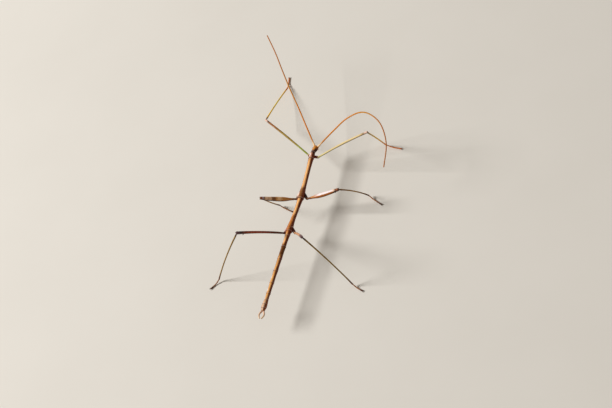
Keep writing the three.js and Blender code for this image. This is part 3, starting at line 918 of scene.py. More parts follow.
def clasper_cuticle(colours):
    """Chitin, thin and little tanned: pinkish tan that pales to cream at the tips.

    It makes the loop at the tail's end stand out palest of all.
    """
    material, tree = new_material("chitin_cuticle_clasper")
    grain = add_node(tree, "ShaderNodeAttribute", {"attribute_name": "grain"}, output="Vector")
    travel = add_node(tree, "ShaderNodeAttribute", {"attribute_name": "travel"}, output="Fac")
    stops = [(0.0, tuple(colours.clasper_root)), (0.7, tuple(colours.clasper_tip))]
    colour = add_node(tree, "ShaderNodeValToRGB", {"stops": stops}, {"Fac": travel})
    blotches = clouded(tree, grain, 0.5, (2, 1, 1))
    colour = laid_over(tree, colour, linear(CLASPER_BLOTCH), blotches, 0.45, 0.7, 0.4, "MULTIPLY")
    normal = wrinkled(tree, grain, wrinkle_mm=0.12, streak_mm=0.1, depth_mm=0.01)
    return cuticle_surface(material, tree, colour, normal, 0.42)


def claw_horn(colours):
    """Chitin, tanned hard and nearly black at the points, with the gloss of polished horn.

    It gives each foot two dark hooks that catch a small highlight.
    """
    material, tree = new_material("chitin_claw_polished")
    place = add_node(tree, "ShaderNodeTexCoord", output="Object")
    cloud = clouded(tree, place, 0.3)
    colour = laid_over(tree, tuple(colours.claw), linear(HORN_CLOUD), cloud, 0.35, 0.65)
    normal = wrinkled(tree, place, wrinkle_mm=0.1, streak_mm=0.1, depth_mm=0.006)
    return cuticle_surface(material, tree, colour, normal, 0.28, coat=0.3, shine=0.5)


def floor_board(colours):
    """Matt painted board: even and pale, with only a breath of tooth."""
    material, tree = new_material("painted_board_matt")
    place = add_node(tree, "ShaderNodeTexCoord", output="Object")
    cloud = clouded(tree, place, 40.0)
    colour = laid_over(tree, tuple(colours.floor), linear(FLOOR_CLOUD), cloud, 0.2, 0.8, 0.12)
    surface = add_node(tree, "ShaderNodeBsdfPrincipled", None, {"Base Color": colour, "Roughness": 0.85})
    add_node(tree, "ShaderNodeOutputMaterial", None, {"Surface": surface})
    return material


# ---- Sizes and colours a user would change -----------------------------------------------


def size(name, description, millimetres, low=0.0, high=10.0):
    """A length property given in millimetres."""
    return FloatProperty(
        name=name, description=description, default=millimetres * MM, min=low * MM, max=high * MM,
        unit="LENGTH", precision=6,
    )


def tint(name, description, colour):
    """A colour property given as an sRGB hex value."""
    return FloatVectorProperty(
        name=name, description=description, default=linear(colour), size=4, subtype="COLOR",
        min=0.0, max=1.0,
    )


class TrunkSettings(bpy.types.PropertyGroup):
    """Shape and colours of the head, thorax and abdomen."""

    ring_spacing: size("Ring spacing", "Distance between the rings of the trunk's skin", 0.1, 0.05, 0.5)
    back_ridge: size("Back ridge", "How far the ridge along the middle of the back stands up", 0.05)
    wrinkle_depth: size("Wrinkle depth", "Height of the soft wrinkles across the trunk", 0.014)
    back: tint("Back", "Pale tan of the back", "#F6B874")
    abdomen: tint("Abdomen", "Tan of the back along the abdomen", "#E2A45C")
    saddle: tint("Saddle", "Brown patch across the abdomen", "#74400C")
    # Partly painted shade: the flanks' dark red-brown is deeper than the animal's own.
    flank: tint("Flank", "Dark red-brown of the flanks", "#7C3410")
    mid_flank: tint("Mid flank", "Brown of the flanks at the middle hips", "#8A4420")
    # Partly painted reflection: the olive of the underside stands in part for warm bounce light.
    belly: tint("Belly", "Olive of the underside", "#7E6A38")
    # Painted shade: the dark line in the folds between the plates.
    crease: tint("Crease", "Dark line in the folds between the plates", "#54241A")
    mid_hips: tint("Mid hips", "Brown of the back over the middle hips", "#946030")
    hind_hips: tint("Hind hips", "Orange brown of the back over the hind hips", "#C47834")
    collar: tint("Collar", "Pinkish tan of the first thorax plate", "#C89070")
    head: tint("Head", "Orange tan of the top of the head", "#DC9038")
    cheek: tint("Cheek", "Brown of the sides of the head", "#B06818")
    neck: tint("Neck", "Dark brown of the fold behind the head", "#48200E")
    # Painted highlight: the pale glints on the plates' rims and in spots.
    wax: tint("Wax", "Pinkish white of the wax on the plates' rims and in spots", "#F2D6CC")
    tail: tint("Tail", "Pinkish tan of the last plates", "#DCB490")
    tail_flank: tint("Tail flank", "Orange brown of the sides of the tail", "#98480C")
    clasper_root: tint("Clasper root", "Pinkish tan of the claspers", "#DDB094")
    clasper_tip: tint("Clasper tip", "Cream near the tips of the claspers", "#EACCAA")
    eye: tint("Eye", "Dark pigment of the eye", "#2A0E08")
    eye_glow: tint("Eye glow", "Redder patches of the eye", "#6A260E")


class AntennaSettings(bpy.types.PropertyGroup):
    """Shape and colours of the antennae."""

    root_width: size("Root width", "Thickness of the whip where it leaves its base", 0.56, 0.1, 0.6)
    tip_width: size("Tip width", "Thickness of the whip at its tip", 0.42, 0.05, 0.5)
    ring_length: size("Ring length", "Length of each ring of the whip", 0.85, 0.3, 3.0)
    ring_swell: FloatProperty(
        name="Ring swell", description="How much each ring widens to its far end",
        default=0.16, min=0.0, max=0.5, subtype="FACTOR",
    )
    base: tint("Base", "Cream of the thick first joint", "#F4CFA2")
    root: tint("Root", "Orange of the whip near the head", "#D27A00")
    middle: tint("Middle", "Yellow brown halfway along", "#BE7C00")
    tip: tint("Tip", "Tan of the outer half", "#B87034")


class FrontLegSettings(bpy.types.PropertyGroup):
    """Colours of the front pair of legs."""

    coxa: tint("Hip joint", "Dark red-brown of the joint at the body", "#6A200E")
    thigh_root: tint("Thigh root", "Cream of the ring at the root of the thigh", "#E6CE9A")
    thigh_green: tint("Thigh green", "Green of the inner third of the thigh", "#8C961E")
    thigh: tint("Thigh", "Olive brown of the middle of the thigh", "#94781A")
    thigh_orange: tint("Outer thigh", "Orange brown of the thigh before the knee", "#9A5C1C")
    knee_ring: tint("Knee ring", "Dark ring before the knee", "#5A3018")
    knee: tint("Knee", "Pale pink of the knee", "#E2BCA8")
    shin: tint("Shin", "Bright yellow of the shin", "#F8BC00")
    shin_green: tint("Shin green", "Lemon yellow of the middle of the shin", "#EACC18")
    ankle: tint("Ankle", "Orange of the ankle", "#E07C22")
    foot: tint("Foot", "Orange brown of the foot", "#D27424")
    # Painted shade: the darker underside of the leg.
    under: tint("Underside", "Dark olive of the underside", "#6A6420")


class MidLegSettings(bpy.types.PropertyGroup):
    """Colours of the middle pair of legs."""

    coxa: tint("Hip joint", "Very dark brown of the joint at the body", "#38180E")
    thigh_root: tint("Thigh root", "Brown of the root of the thigh", "#8A5420")
    thigh: tint("Thigh", "Tan of the thigh", "#DC9850")
    thigh_pale: tint("Thigh pale patch", "Cream of the patch halfway along the thigh", "#FFCE94")
    band: tint("Thigh band", "Brown of the band across the thigh", "#906036")
    thigh_end: tint("Thigh end", "Cream of the last third of the thigh", "#FFD2A8")
    knee_ring: tint("Knee ring", "Dark ring before the knee", "#34140C")
    knee: tint("Knee", "Brown of the knee", "#9A5420")
    shin: tint("Shin", "Yellow brown of the shin", "#A87A20")
    ankle: tint("Ankle", "Dark spot at the ankle", "#562E0C")
    foot: tint("Foot", "Brown of the foot", "#93561C")
    # Painted shade: the darker underside of the leg.
    under: tint("Underside", "Dark brown of the underside", "#6A300C")


class HindLegSettings(bpy.types.PropertyGroup):
    """Colours of the hind pair of legs."""

    coxa: tint("Hip joint", "Dark brown of the joint at the body", "#5A2A20")
    thigh_root: tint("Thigh root", "Dark brown of the root of the thigh", "#642A08")
    thigh: tint("Thigh", "Rust red of the thigh", "#A83C00")
    knee_ring: tint("Knee ring", "Nearly black ring before the knee", "#28100C")
    knee: tint("Knee", "Dull mauve of the knee", "#6E4C50")
    shin: tint("Shin", "Olive brown of the shin", "#926E18")
    ankle: tint("Ankle", "Dark brown of the ankle", "#5A2A0A")
    foot: tint("Foot", "Brown of the foot", "#93581C")
    # Painted shade: the darker underside of the leg.
    under: tint("Underside", "Dark brown of the underside", "#401A0E")


class FootSettings(bpy.types.PropertyGroup):
    """Shape and colour of the claws."""

    claw_width: size("Claw width", "Thickness of a claw at its root", 0.17, 0.05, 0.4)
    claw: tint("Claw", "Dark brown horn of the claws", "#2C1810")


class StageSettings(bpy.types.PropertyGroup):
    """Floor, lights and camera."""

    floor: tint("Floor", "Pale colour of the floor", "#E6E1D8")
    key_power: FloatProperty(
        name="Key light", description="Power of the soft light from the animal's left",
        default=30.0, min=0.0, max=200.0, unit="POWER",
    )
    fill_power: FloatProperty(
        name="Fill light", description="Power of the weak light from the other side",
        default=0.2, min=0.0, max=100.0, unit="POWER",
    )
    sky: FloatProperty(
        name="Sky", description="Strength of the even light from all round",
        default=0.2, min=0.0, max=5.0,
    )


# ---- Trunk -------------------------------------------------------------------------------

# How many points a ring of the trunk has, and how the tail's end and the face are rounded off.
TRUNK_AROUND = 56
TAIL_DOME = 0.5
FACE_DOME = 0.75
FACE_FLAT = 0.94
FACE_FULLNESS = 2.5

# The ridges down the back and the sides, as widths round the trunk in radians.
BACK_RIDGE_WIDTH = 0.24
SIDE_RIDGE, SIDE_RIDGE_WIDTH = 0.03, 0.2

# The swelling over each hip: how far it stands out, its reach along the trunk, and its place
# round the trunk, up from straight below, with its width there.
HIP_SWELL, HIP_REACH = 0.1, 1.0
HIP_UP, HIP_WIDTH = 1.15, 0.4

# How the rings close in on a fold, and how near two rings may stand.
FOLD_RINGS = (-0.3, -0.15, -0.06, -0.02, 0.02, 0.06, 0.15, 0.3)
DOME_RINGS = 12
DOME_END = 0.01
LEAST_RING_GAP = 0.012

# The soft wrinkles: how many waves are laid over one another, how many of each fit a millimetre,
# and what brings their sum to about one.
WRINKLE_SEED = 11
WRINKLE_WAVES = 14
WRINKLES_PER_MM = (0.3, 2.6)
WRINKLE_SCALE = 5

# The scoop under the tail: distance from the tail tip, how low it hangs, and its half sizes.
SCOOP_FROM_TAIL, SCOOP_DROP = 5.9, 0.62
SCOOP_HALF = (1.46, 0.58, 0.48)

# The rim round an antenna's root: how far along the antenna it lies, and its half sizes.
SOCKET_REACH = 0.22
SOCKET_HALF = (0.24, 0.44, 0.44)

# Where a fold's painted shade and the painted highlight on a plate's rim lie from the fold, and
# how wide each is.
CREASE_PLACE, CREASE_WIDTH = -0.07, 0.1
RIM_PLACE, RIM_WIDTH = 0.14, 0.16
DARKEST_TUCK = 0.09

# Painted highlights on the trunk, pale glints in spots: distance from the tail tip, degrees right
# of the top, half length, half width in degrees, and how strongly each is laid on.
PAINTED_GLINT_SPOTS = (
    (8.0, -55, 0.9, 22, 0.5),
    (11.3, -50, 0.7, 24, 0.9),
    (16.5, -55, 0.8, 22, 0.7),
    (31.3, -60, 0.5, 20, 0.8),
    (37.5, 60, 0.4, 20, 0.6),
    (51.4, -62, 1.2, 26, 1.0),
    (68.9, -38, 1.1, 34, 0.9),
    (71.8, -60, 0.8, 25, 0.6),
)


def plate_starts():
    """Where each plate of the trunk starts, in millimetres from the tail tip."""
    lengths = [plate.length for plate in TRUNK]
    return CLASPER_LENGTH + np.concatenate(([0.0], np.cumsum(lengths)))


def folds():
    """The folds between plates: place, and how deep the skin tucks in there."""
    starts = plate_starts()[1:-1]
    return [(start, PLATE_TUCK.get(plate.node, ABDOMEN_TUCK)) for start, plate in zip(starts, TRUNK[1:])]


def trunk_half_width(distance):
    """Half the width of the trunk from its table, smooth within each plate."""
    half = np.zeros_like(distance)
    starts = plate_starts()
    for index, (start, plate) in enumerate(zip(starts, TRUNK)):
        knots = start + np.linspace(0, plate.length, len(plate.widths))
        inside = distance >= start if index else np.full(distance.shape, True)
        half = np.where(inside, smooth_values(distance, knots, plate.widths) / 2, half)
    return half


def soft_wrinkles(distance, angle):
    """Gentle uneven swell of the skin, from about -1 to 1, closed round the trunk."""
    rng = np.random.default_rng(WRINKLE_SEED)
    swell = 0
    for _ in range(WRINKLE_WAVES):
        along, turns, phase = rng.uniform(*WRINKLES_PER_MM), rng.integers(-3, 4), rng.uniform(0, math.tau)
        swell = swell + np.sin(math.tau * along * distance + turns * angle + phase)
    return swell / WRINKLE_SCALE


def hip_distances():
    """How far from the tail tip each pair of hips lies along the spine."""
    distance = SPINE["hind_hip_to_tail"].length
    places = [distance + PAIRS["hind"]["hip_forward"]]
    for run, pair in (("mid_to_hind_hip", "mid"), ("front_to_mid_hip", "front")):
        distance += SPINE[run].length
        places.append(distance + PAIRS[pair]["hip_forward"])
    return places


def around_from(angle, middle, repeats=1):
    """How far round an angle lies from the nearest middle, where a turn has this many of them."""
    return np.abs(np.angle(np.exp(1j * repeats * (angle - middle)))) / repeats


def trunk_section(settings):
    """The trunk's section: an upright-sided oval with a ridge down the back and at each side."""
    first, last = plate_starts()[[0, -1]]
    hips = hip_distances()

    def section(distance, angle):
        half = trunk_half_width(distance)
        for place, tuck in folds():
            behind, ahead = place - distance, distance - place
            half = half - np.where(behind >= 0, tuck * np.exp(-np.abs(behind) / TUCK_REACH), 0)
            half = half + np.where(ahead > 0, RIM_UP * np.exp(-np.abs(ahead) / RIM_REACH), 0)
        tail = np.clip((first + TAIL_DOME - distance) / TAIL_DOME, 0, 1)
        face = np.clip((distance - last + FACE_DOME) / FACE_DOME, 0, 1)
        half = half * np.sqrt(1 - tail**2) * np.sqrt(1 - FACE_FLAT * face**FACE_FULLNESS)
        half = half + settings.wrinkle_depth / MM * soft_wrinkles(distance, angle)
        reach = half + settings.back_ridge / MM * bell(angle, math.pi / 2, BACK_RIDGE_WIDTH)
        reach = reach + SIDE_RIDGE * bell(around_from(angle, 0, 2), 0, SIDE_RIDGE_WIDTH)
        low = around_from(angle, 1.5 * math.pi)
        for hip in hips:
            reach = reach + HIP_SWELL * bell(distance, hip, HIP_REACH) * bell(low, HIP_UP, HIP_WIDTH)
        return reach * np.cos(angle), reach * np.sin(angle) * TRUNK_FLATNESS

    return section


def trunk_stations(spacing):
    """Rings at an even spacing, closer at the folds and at the domed ends."""
    first, last = plate_starts()[[0, -1]]
    even = np.arange(first + TAIL_DOME, last - FACE_DOME, spacing)
    near = [place + np.array(FOLD_RINGS) for place, _ in folds()]
    turn = np.linspace(0, math.pi / 2, DOME_RINGS)
    tail = first + DOME_END + TAIL_DOME * (1 - np.cos(turn))
    face = last - DOME_END - FACE_DOME * (1 - np.cos(turn))
    stations = np.unique(np.round(np.concatenate((even, *near, tail, face)), 4))
    spread = np.concatenate(([True], np.diff(stations) > LEAST_RING_GAP))
    return stations[spread]


def tail_scoop():
    """The scoop under the end of a male's abdomen."""
    return spine_egg((SPINE_LINE.length - SCOOP_FROM_TAIL, 0.0, -SCOOP_DROP), SCOOP_HALF)


def antenna_socket(side):
    """The raised rim that an antenna's first joint turns in."""
    places, forward, right, up = antenna_line(side).at(SOCKET_REACH)
    return egg(places[0], forward[0], right[0], up[0], SOCKET_HALF)


def mark_trunk(mesh):
    """Tells the trunk's patterns where the painted shade of the folds, the painted highlights on the
    plates' rims and the glint spots are.
    """
    travel, top, side = (np.zeros(len(mesh.vertices), np.float32) for _ in range(3))
    for name, values in (("travel", travel), ("top", top), ("side", side)):
        mesh.attributes[name].data.foreach_get("value", values)
    distance = travel.astype(float) * SPINE_LINE.length
    lean = np.degrees(np.arctan2(side, top))
    # Painted shade in the folds.
    crease = sum(
        bell(distance, place + CREASE_PLACE, CREASE_WIDTH) * min(1, tuck / DARKEST_TUCK)
        for place, tuck in folds()
    )
    # Painted highlight along the plates' rims.
    rim = sum(bell(distance, place + RIM_PLACE, RIM_WIDTH) for place, _ in folds())
    # Painted highlights in the listed spots.
    wax = sum(
        amount * bell(distance, place, reach) * bell(lean, turn, spread)
        for place, turn, reach, spread, amount in PAINTED_GLINT_SPOTS
    )
    for name, values in (("crease", crease), ("rim", rim), ("wax", wax)):
        mesh.attributes.new(name, "FLOAT", "POINT").data.foreach_set("value", values.astype(np.float32))


def make_trunk(settings):
    """The one skin of head, thorax and abdomen."""
    stations = trunk_stations(settings.ring_spacing / MM)
    skin = loft(SPINE_LINE, stations, trunk_section(settings), TRUNK_AROUND)
    trunk = joined("trunk_skin", [skin, tail_scoop(), *(antenna_socket(side) for side in SIDES)])
    mark_places(trunk.data, [SPINE_LINE])
    mark_trunk(trunk.data)
    nodes = [plate.node for plate in TRUNK] + ["subgenital_plate"]
    return finish_piece(trunk, trunk_cuticle(settings), nodes)


# ---- Head parts --------------------------------------------------------------------------

# Mouthparts on the middle line, as a place on the head and half sizes, then those of a side.
LIP = ((0.12, 0, -0.36), (0.24, 0.4, 0.3))
CHIN = ((0.55, 0, -0.78), (0.5, 0.4, 0.26))
JAW = ((0.32, 0.34, -0.5), (0.42, 0.2, 0.36))

# The two feelers of a side of the mouth: root on the head, then each bend as ahead, out and up
# from the root, and the width at the root.
PALPS = (
    ((0.7, 0.34, -0.85), ((0.2, 0.1, -0.22), (0.45, 0.14, -0.42), (0.6, 0.08, -0.62)), 0.2),
    ((0.6, 0.16, -0.95), ((0.2, 0.06, -0.2), (0.45, 0.1, -0.45)), 0.15),
)
PALP_TAPER = np.array((1.0, 0.95, 0.9, 0.75))
PALP_JOINTS = (0.3, 0.55, 0.78)
PALP_PINCH = (0.014, 0.05)


def make_eyes(settings):
    """Two round compound eyes, each bulging from its side of the head."""
    material = eye_cornea(settings)
    behind, out, up = EYE_PLACE
    for side, sign in SIDES.items():
        ball = spine_egg((behind, sign * out, up), EYE_HALF, around=32, rings=20)
        finish_piece(object_from(f"{side}_eyeball", ball), material, [f"{side}_eye"])


def palp_skin(sign, root, bends, width):
    """A short jointed feeler of the mouth, hanging from a root on the head."""
    behind, out, up = root
    points = [
        SPINE_LINE.place(SPINE_LINE.length - behind + ahead, -sign * (out + further), up + higher)
        for ahead, further, higher in ((0, 0, 0), *bends)
    ]
    line = smooth(points, 20)
    pinches = [(line.length * share, *PALP_PINCH) for share in PALP_JOINTS]
    return limb(line, width * PALP_TAPER, width / 2, spacing=0.06, around=12, keels=0, pinches=pinches)


def make_mouthparts(settings):
    """Lips, jaws and the four short feelers under the face."""
    skins = [spine_egg(*LIP), spine_egg(*CHIN)]
    (behind, out, up), jaw_half = JAW
    for sign in SIDES.values():
        skins.append(spine_egg((behind, sign * out, up), jaw_half))
        skins += [palp_skin(sign, *palp) for palp in PALPS]
    mouth = joined("jaws_and_palps", skins)
    finish_piece(mouth, mouth_cuticle(settings), ["mouthparts"])


# ---- Antennae ----------------------------------------------------------------------------

# The first joint's widths, the second's and its length, and where along the antenna the whip starts.
SCAPE_WIDTHS = (0.66, 0.74, 0.72, 0.62)
PEDICEL_WIDTHS = (0.5, 0.56, 0.5)
PEDICEL_LENGTH = 0.55
WHIP_START = SCAPE_LENGTH + 0.5

# The whip's skin: steps along each ring, sides, and how bluntly its tip is rounded.
STEPS_PER_RING = 8.0
WHIP_SIDES = 14
TIP_BLUNTNESS = 180.0
TIP_OPENING = 0.15


def antenna_line(side):
    """The path of an antenna from its root on the head."""
    behind, out, up = ANTENNA_ROOT
    points = [SPINE_LINE.place(SPINE_LINE.length - behind, -SIDES[side] * out, up)]
    for yaw, rise in ANTENNA_STEPS[side]:
        step = ANTENNA_LENGTH / len(ANTENNA_STEPS[side])
        points.append(points[-1] + step * heading(yaw, rise))
    return smooth(points)


def stretch_of(line, start, end):
    """The part of a line between two distances."""
    return Line(line.at(np.linspace(start, end, max(4, int((end - start) / LINE_STEP))))[0])


WHIP_INPUTS = {
    "Geometry": "NodeSocketGeometry",
    "Root Width": "NodeSocketFloat",
    "Tip Width": "NodeSocketFloat",
    "Ring Length": "NodeSocketFloat",
    "Ring Swell": "NodeSocketFloat",
    "Material": "NodeSocketMaterial",
}

# The whip's width along its path, worked out step by step: what is found, how, and from what.
# The share is how far along the whip a place lies, and the reach is the same as a length.
WHIP_SUMS = (
    ("step", "DIVIDE", "Ring Length", STEPS_PER_RING),
    ("taper", "SUBTRACT", "Tip Width", "Root Width"),
    ("width", "MULTIPLY_ADD", "taper", "share", "Root Width"),
    ("half width", "MULTIPLY", "width", 0.5),
    ("rings", "DIVIDE", "reach", "Ring Length"),
    ("ring", "FRACT", "rings"),
    ("flare", "POWER", "ring", 2.0),
    ("swell", "MULTIPLY", "flare", "Ring Swell"),
    ("waist", "SUBTRACT", 1.0, "Ring Swell"),
    ("swelling", "ADD", "waist", "swell"),
    ("left to tip", "SUBTRACT", 1.0, "share"),
    ("blunted", "MULTIPLY", "left to tip", TIP_BLUNTNESS),
    ("opened", "ADD", "blunted", TIP_OPENING),
    ("capped", "MINIMUM", "opened", 1.0),
    ("rounding", "POWER", "capped", 0.5),
    ("shape", "MULTIPLY", "swelling", "rounding"),
    ("radius", "MULTIPLY", "half width", "shape"),
)


def whip_tree():
    """Geometry nodes that draw a tapering whip of rings along a path."""
    tree = bpy.data.node_groups.new("Ringed whip", "GeometryNodeTree")
    for name, kind in WHIP_INPUTS.items():
        tree.interface.new_socket(name=name, in_out="INPUT", socket_type=kind)
    tree.interface.new_socket(name="Geometry", in_out="OUTPUT", socket_type="NodeSocketGeometry")
    known = {name: add_node(tree, "NodeGroupInput", output=name) for name in WHIP_INPUTS}
    for name, output in (("share", "Factor"), ("reach", "Length")):
        known[name] = add_node(tree, "GeometryNodeSplineParameter", output=output)
    for name, operation, *terms in WHIP_SUMS:
        inputs = {place: known.get(term, term) for place, term in enumerate(terms)}
        known[name] = add_node(tree, "ShaderNodeMath", {"operation": operation}, inputs)
    path = add_node(tree, "GeometryNodeMeshToCurve", None, {"Mesh": known["Geometry"]})
    path = add_node(tree, "GeometryNodeResampleCurve", {"mode": "LENGTH"}, {
        "Curve": path, "Length": known["step"],
    })
    path = add_node(tree, "GeometryNodeStoreNamedAttribute", {"data_type": "FLOAT"}, {
        "Geometry": path, "Name": "ring", "Value": known["ring"],
    })
    profile = {"Resolution": WHIP_SIDES, "Radius": 1.0}
    skin = add_node(tree, "GeometryNodeCurveToMesh", None, {
        "Curve": path, "Scale": known["radius"], "Fill Caps": True,
        "Profile Curve": add_node(tree, "GeometryNodeCurvePrimitiveCircle", None, profile),
    })
    skin = add_node(tree, "GeometryNodeRealizeInstances", None, {"Geometry": skin})
    skin = add_node(tree, "GeometryNodeSetMaterial", None, {
        "Geometry": skin, "Material": known["Material"],
    })
    add_node(tree, "NodeGroupOutput", None, {"Geometry": skin})
    return tree


def grown(made, tree, values):
    """Runs a geometry node tree on an object and keeps the result as its plain mesh."""
    grow = made.modifiers.new(tree.name, "NODES")
    grow.node_group = tree
    identifiers = {
        item.name: item.identifier for item in tree.interface.items_tree
        if item.item_type == "SOCKET" and item.in_out == "INPUT"
    }
    for name, value in values.items():
        grow[identifiers[name]] = value
    mesh = evaluated_mesh(made)
    made.modifiers.clear()
    made.data = mesh
    tidy_faces(mesh)
    return made


def antenna_root(side, line, material):
    """The thick first joint of an antenna and the narrow second one, as one skin."""
    scape_line = stretch_of(line, 0, SCAPE_LENGTH)
    scape = limb(scape_line, SCAPE_WIDTHS, cap=0.28, spacing=0.08, around=24, keels=0)
    pedicel_line = stretch_of(line, SCAPE_LENGTH, SCAPE_LENGTH + PEDICEL_LENGTH)
    pedicel = limb(pedicel_line, PEDICEL_WIDTHS, cap=0.14, spacing=0.06, around=24, keels=0)
    base = joined(f"{side}_antenna_root", [scape, pedicel])
    mark_places(base.data, [line])
    base.data.attributes.new("ring", "FLOAT", "POINT")
    finish_piece(base, material, [f"{side}_antenna_base"])


def antenna_whip(side, line, material, tree, settings):
    """The long ringed whip of an antenna."""
    whip_line = stretch_of(line, WHIP_START, line.length)
    path = object_from(f"{side}_antenna_whip", (whip_line.points, []))
    path.data.edges.add(len(whip_line.points) - 1)
    for index, edge in enumerate(path.data.edges):
        edge.vertices = (index, index + 1)
    whip = grown(path, tree, {
        "Root Width": settings.root_width, "Tip Width": settings.tip_width,
        "Ring Length": settings.ring_length, "Ring Swell": settings.ring_swell, "Material": material,
    })
    mark_places(whip.data, [whip_line], WHIP_START, line.length)
    finish_piece(whip, material, [f"{side}_antenna_{length}" for length in (1, 2, 3)])


def make_antennae(settings):
    """Two long ringed whips, each on a thick first joint and a narrow second one."""
    material = antenna_cuticle(settings)
    tree = whip_tree()
    for side in SIDES:
        line = antenna_line(side)
        antenna_root(side, line, material)
        antenna_whip(side, line, material, tree, settings)


# ---- Legs and feet -----------------------------------------------------------------------

# The skins of hip joint, thigh and shin; a pinch is its place, how deep it is and how long.
COXA_SKIN = {
    "cap": 0.4, "spacing": 0.1, "around": 28, "keels": 0.04,
    "pinches": ((0.9, 0.05, 0.12),),
}
THIGH_SKIN = {
    "cap": 0.42, "spacing": 0.16, "around": 24, "keels": 0.09, "depth": 1.04,
    "pinches": ((TROCHANTER_LENGTH, 0.08, 0.12), (-0.1, 0.06, 0.15)),
}
SHIN_SKIN = {
    "cap": 0.3, "spacing": 0.18, "around": 20, "keels": 0.09,
    "pinches": ((0.75, 0.05, 0.3),),
}

# The lobes at a knee: half sizes on a thigh of the given width, and how far apart they stand.
KNEE_LOBE = (0.5, 0.16, 0.42)
KNEE_LOBE_WIDTH = 0.9
KNEE_LOBE_OUT = 0.3

# The tooth under a thigh: its place along the thigh, depth of its root, lean, and widths.
SPUR_SHARE = 0.86
SPUR_ROOT = 0.3
SPUR_LEAN = 0.25
SPUR_WIDTHS = (0.44, 0.3, 0.12)

# The foot: its sides, half width where a joint starts, the swell to a joint's far end, what each
# joint adds, the nick between joints with its place and reach, how much the sole hangs down,
# how far its domed ends reach, and the pad between the claws.
TARSUS_AROUND = 18
TARSUS_HALF = 0.165
TARSOMERE_SWELL, TARSOMERE_FULLNESS = 0.05, 1.4
TARSOMERE_GAIN = 0.006
TARSUS_NICK, NICK_PLACE, NICK_REACH = 0.045, 0.03, 0.06
SOLE_SWELL = 0.3
TARSUS_CAP = 0.2
PAD_FORWARD = 0.4
PAD_HALF = (0.34, 0.24, 0.2)

# A claw: its root, crook and tip as ahead of the foot's tip, to the side, and up; then how it
# thins towards the width of its tip.
CLAW_ROOT = (0.22, 0.1, 0.08)
CLAW_CROOK = (0.85, 0.4, 0.24)
CLAW_TIP = (0.9, 0.32)
CLAW_TIP_HEIGHT = 0.03
CLAW_TAPER = (1.0, 0.8, 0.5)
CLAW_TIP_WIDTH = 0.05


def tarsus_skin(line):
    """A foot of five joints, each swelling to a soft sole under its far end."""
    ends = np.array(TARSOMERE_ENDS) * line.length
    stations = [np.linspace(start, end, 10)[:-1] for start, end in zip(ends, ends[1:])]
    turn = np.linspace(0, math.pi / 2, CAP_RINGS)
    before, after = -TARSUS_CAP * np.cos(turn)[:-1], line.length + TARSUS_CAP * np.sin(turn)
    stations = np.concatenate((before, *stations, after))

    def section(distance, angle):
        joint = np.clip(np.searchsorted(ends, distance, side="right") - 1, 0, len(ends) - 2)
        share = np.clip((distance - ends[joint]) / (ends[joint + 1] - ends[joint]), 0, 1)
        half = TARSUS_HALF + TARSOMERE_SWELL * share**TARSOMERE_FULLNESS + TARSOMERE_GAIN * joint
        for place in ends[1:-1]:
            half = half - TARSUS_NICK * bell(distance, place + NICK_PLACE, NICK_REACH)
        half = half * doming(distance, line.length, TARSUS_CAP)
        sole = np.where(np.sin(angle) < 0, 1 + SOLE_SWELL * share, 1.0)
        return half * np.cos(angle), half * sole * np.sin(angle)

    return grounded(loft(line, stations, section, TARSUS_AROUND))


def knee_lobes(femur, tibia, width):
    """Two flat lobes that clasp the head of the shin."""
    knee, forward, _, _ = (part[0] for part in femur.at(femur.length))
    axle = unit(np.cross(forward, tibia.at(0.5)[1][0]))
    above = np.cross(axle, forward)
    half = np.array(KNEE_LOBE) * width / KNEE_LOBE_WIDTH
    centres = (knee + sign * axle * width * KNEE_LOBE_OUT for sign in SIDES.values())
    return [egg(centre, forward, axle, above, half, around=18, rings=12) for centre in centres]


def spur_skin(femur, length):
    """A small tooth under the thigh near the knee."""
    places, forward, _, up = femur.at(femur.length * SPUR_SHARE)
    root = places[0] - SPUR_ROOT * up[0]
    tip = root - length * up[0] + SPUR_LEAN * length * forward[0]
    return limb(Line((root, tip)), SPUR_WIDTHS, cap=0.05, spacing=0.08, around=12, keels=0)


def leg_skins(leg):
    """All the lengths of a leg, from hip to foot, as overlapping skins."""
    pair = PAIRS[leg.split("_")[1]]
    lines, toe = LEG_LINES[leg]
    yaw = POSES[leg].tarsus_yaw
    ahead = heading(yaw, 0)
    beside = heading(yaw - 90, 0)
    pad = egg(toe + PAD_FORWARD * ahead, ahead, beside, WORLD_UP, PAD_HALF, around=20, rings=12)
    skins = [
        limb(lines["coxa"], pair["coxa_widths"], **COXA_SKIN),
        limb(lines["femur"], pair["femur_widths"], **THIGH_SKIN),
        limb(lines["tibia"], pair["tibia_widths"], **SHIN_SKIN),
        tarsus_skin(lines["tarsus"]),
        *knee_lobes(lines["femur"], lines["tibia"], pair["femur_widths"][-1]),
        grounded(pad),
    ]
    if pair["spur"]:
        skins.append(spur_skin(lines["femur"], pair["spur"]))
    return skins


def make_legs(pair_name, colours):
    """A pair of legs, each one skin from hip to foot."""
    for side in SIDES:
        leg = f"{side}_{pair_name}"
        material = leg_cuticle(leg, colours)
        skin = joined(f"{leg}_leg", leg_skins(leg))
        lines = LEG_LINES[leg][0]
        mark_places(skin.data, list(lines.values()))
        nodes = [f"{leg}_{part}" for part in lines]
        finish_piece(skin, material, nodes, sharp=40)


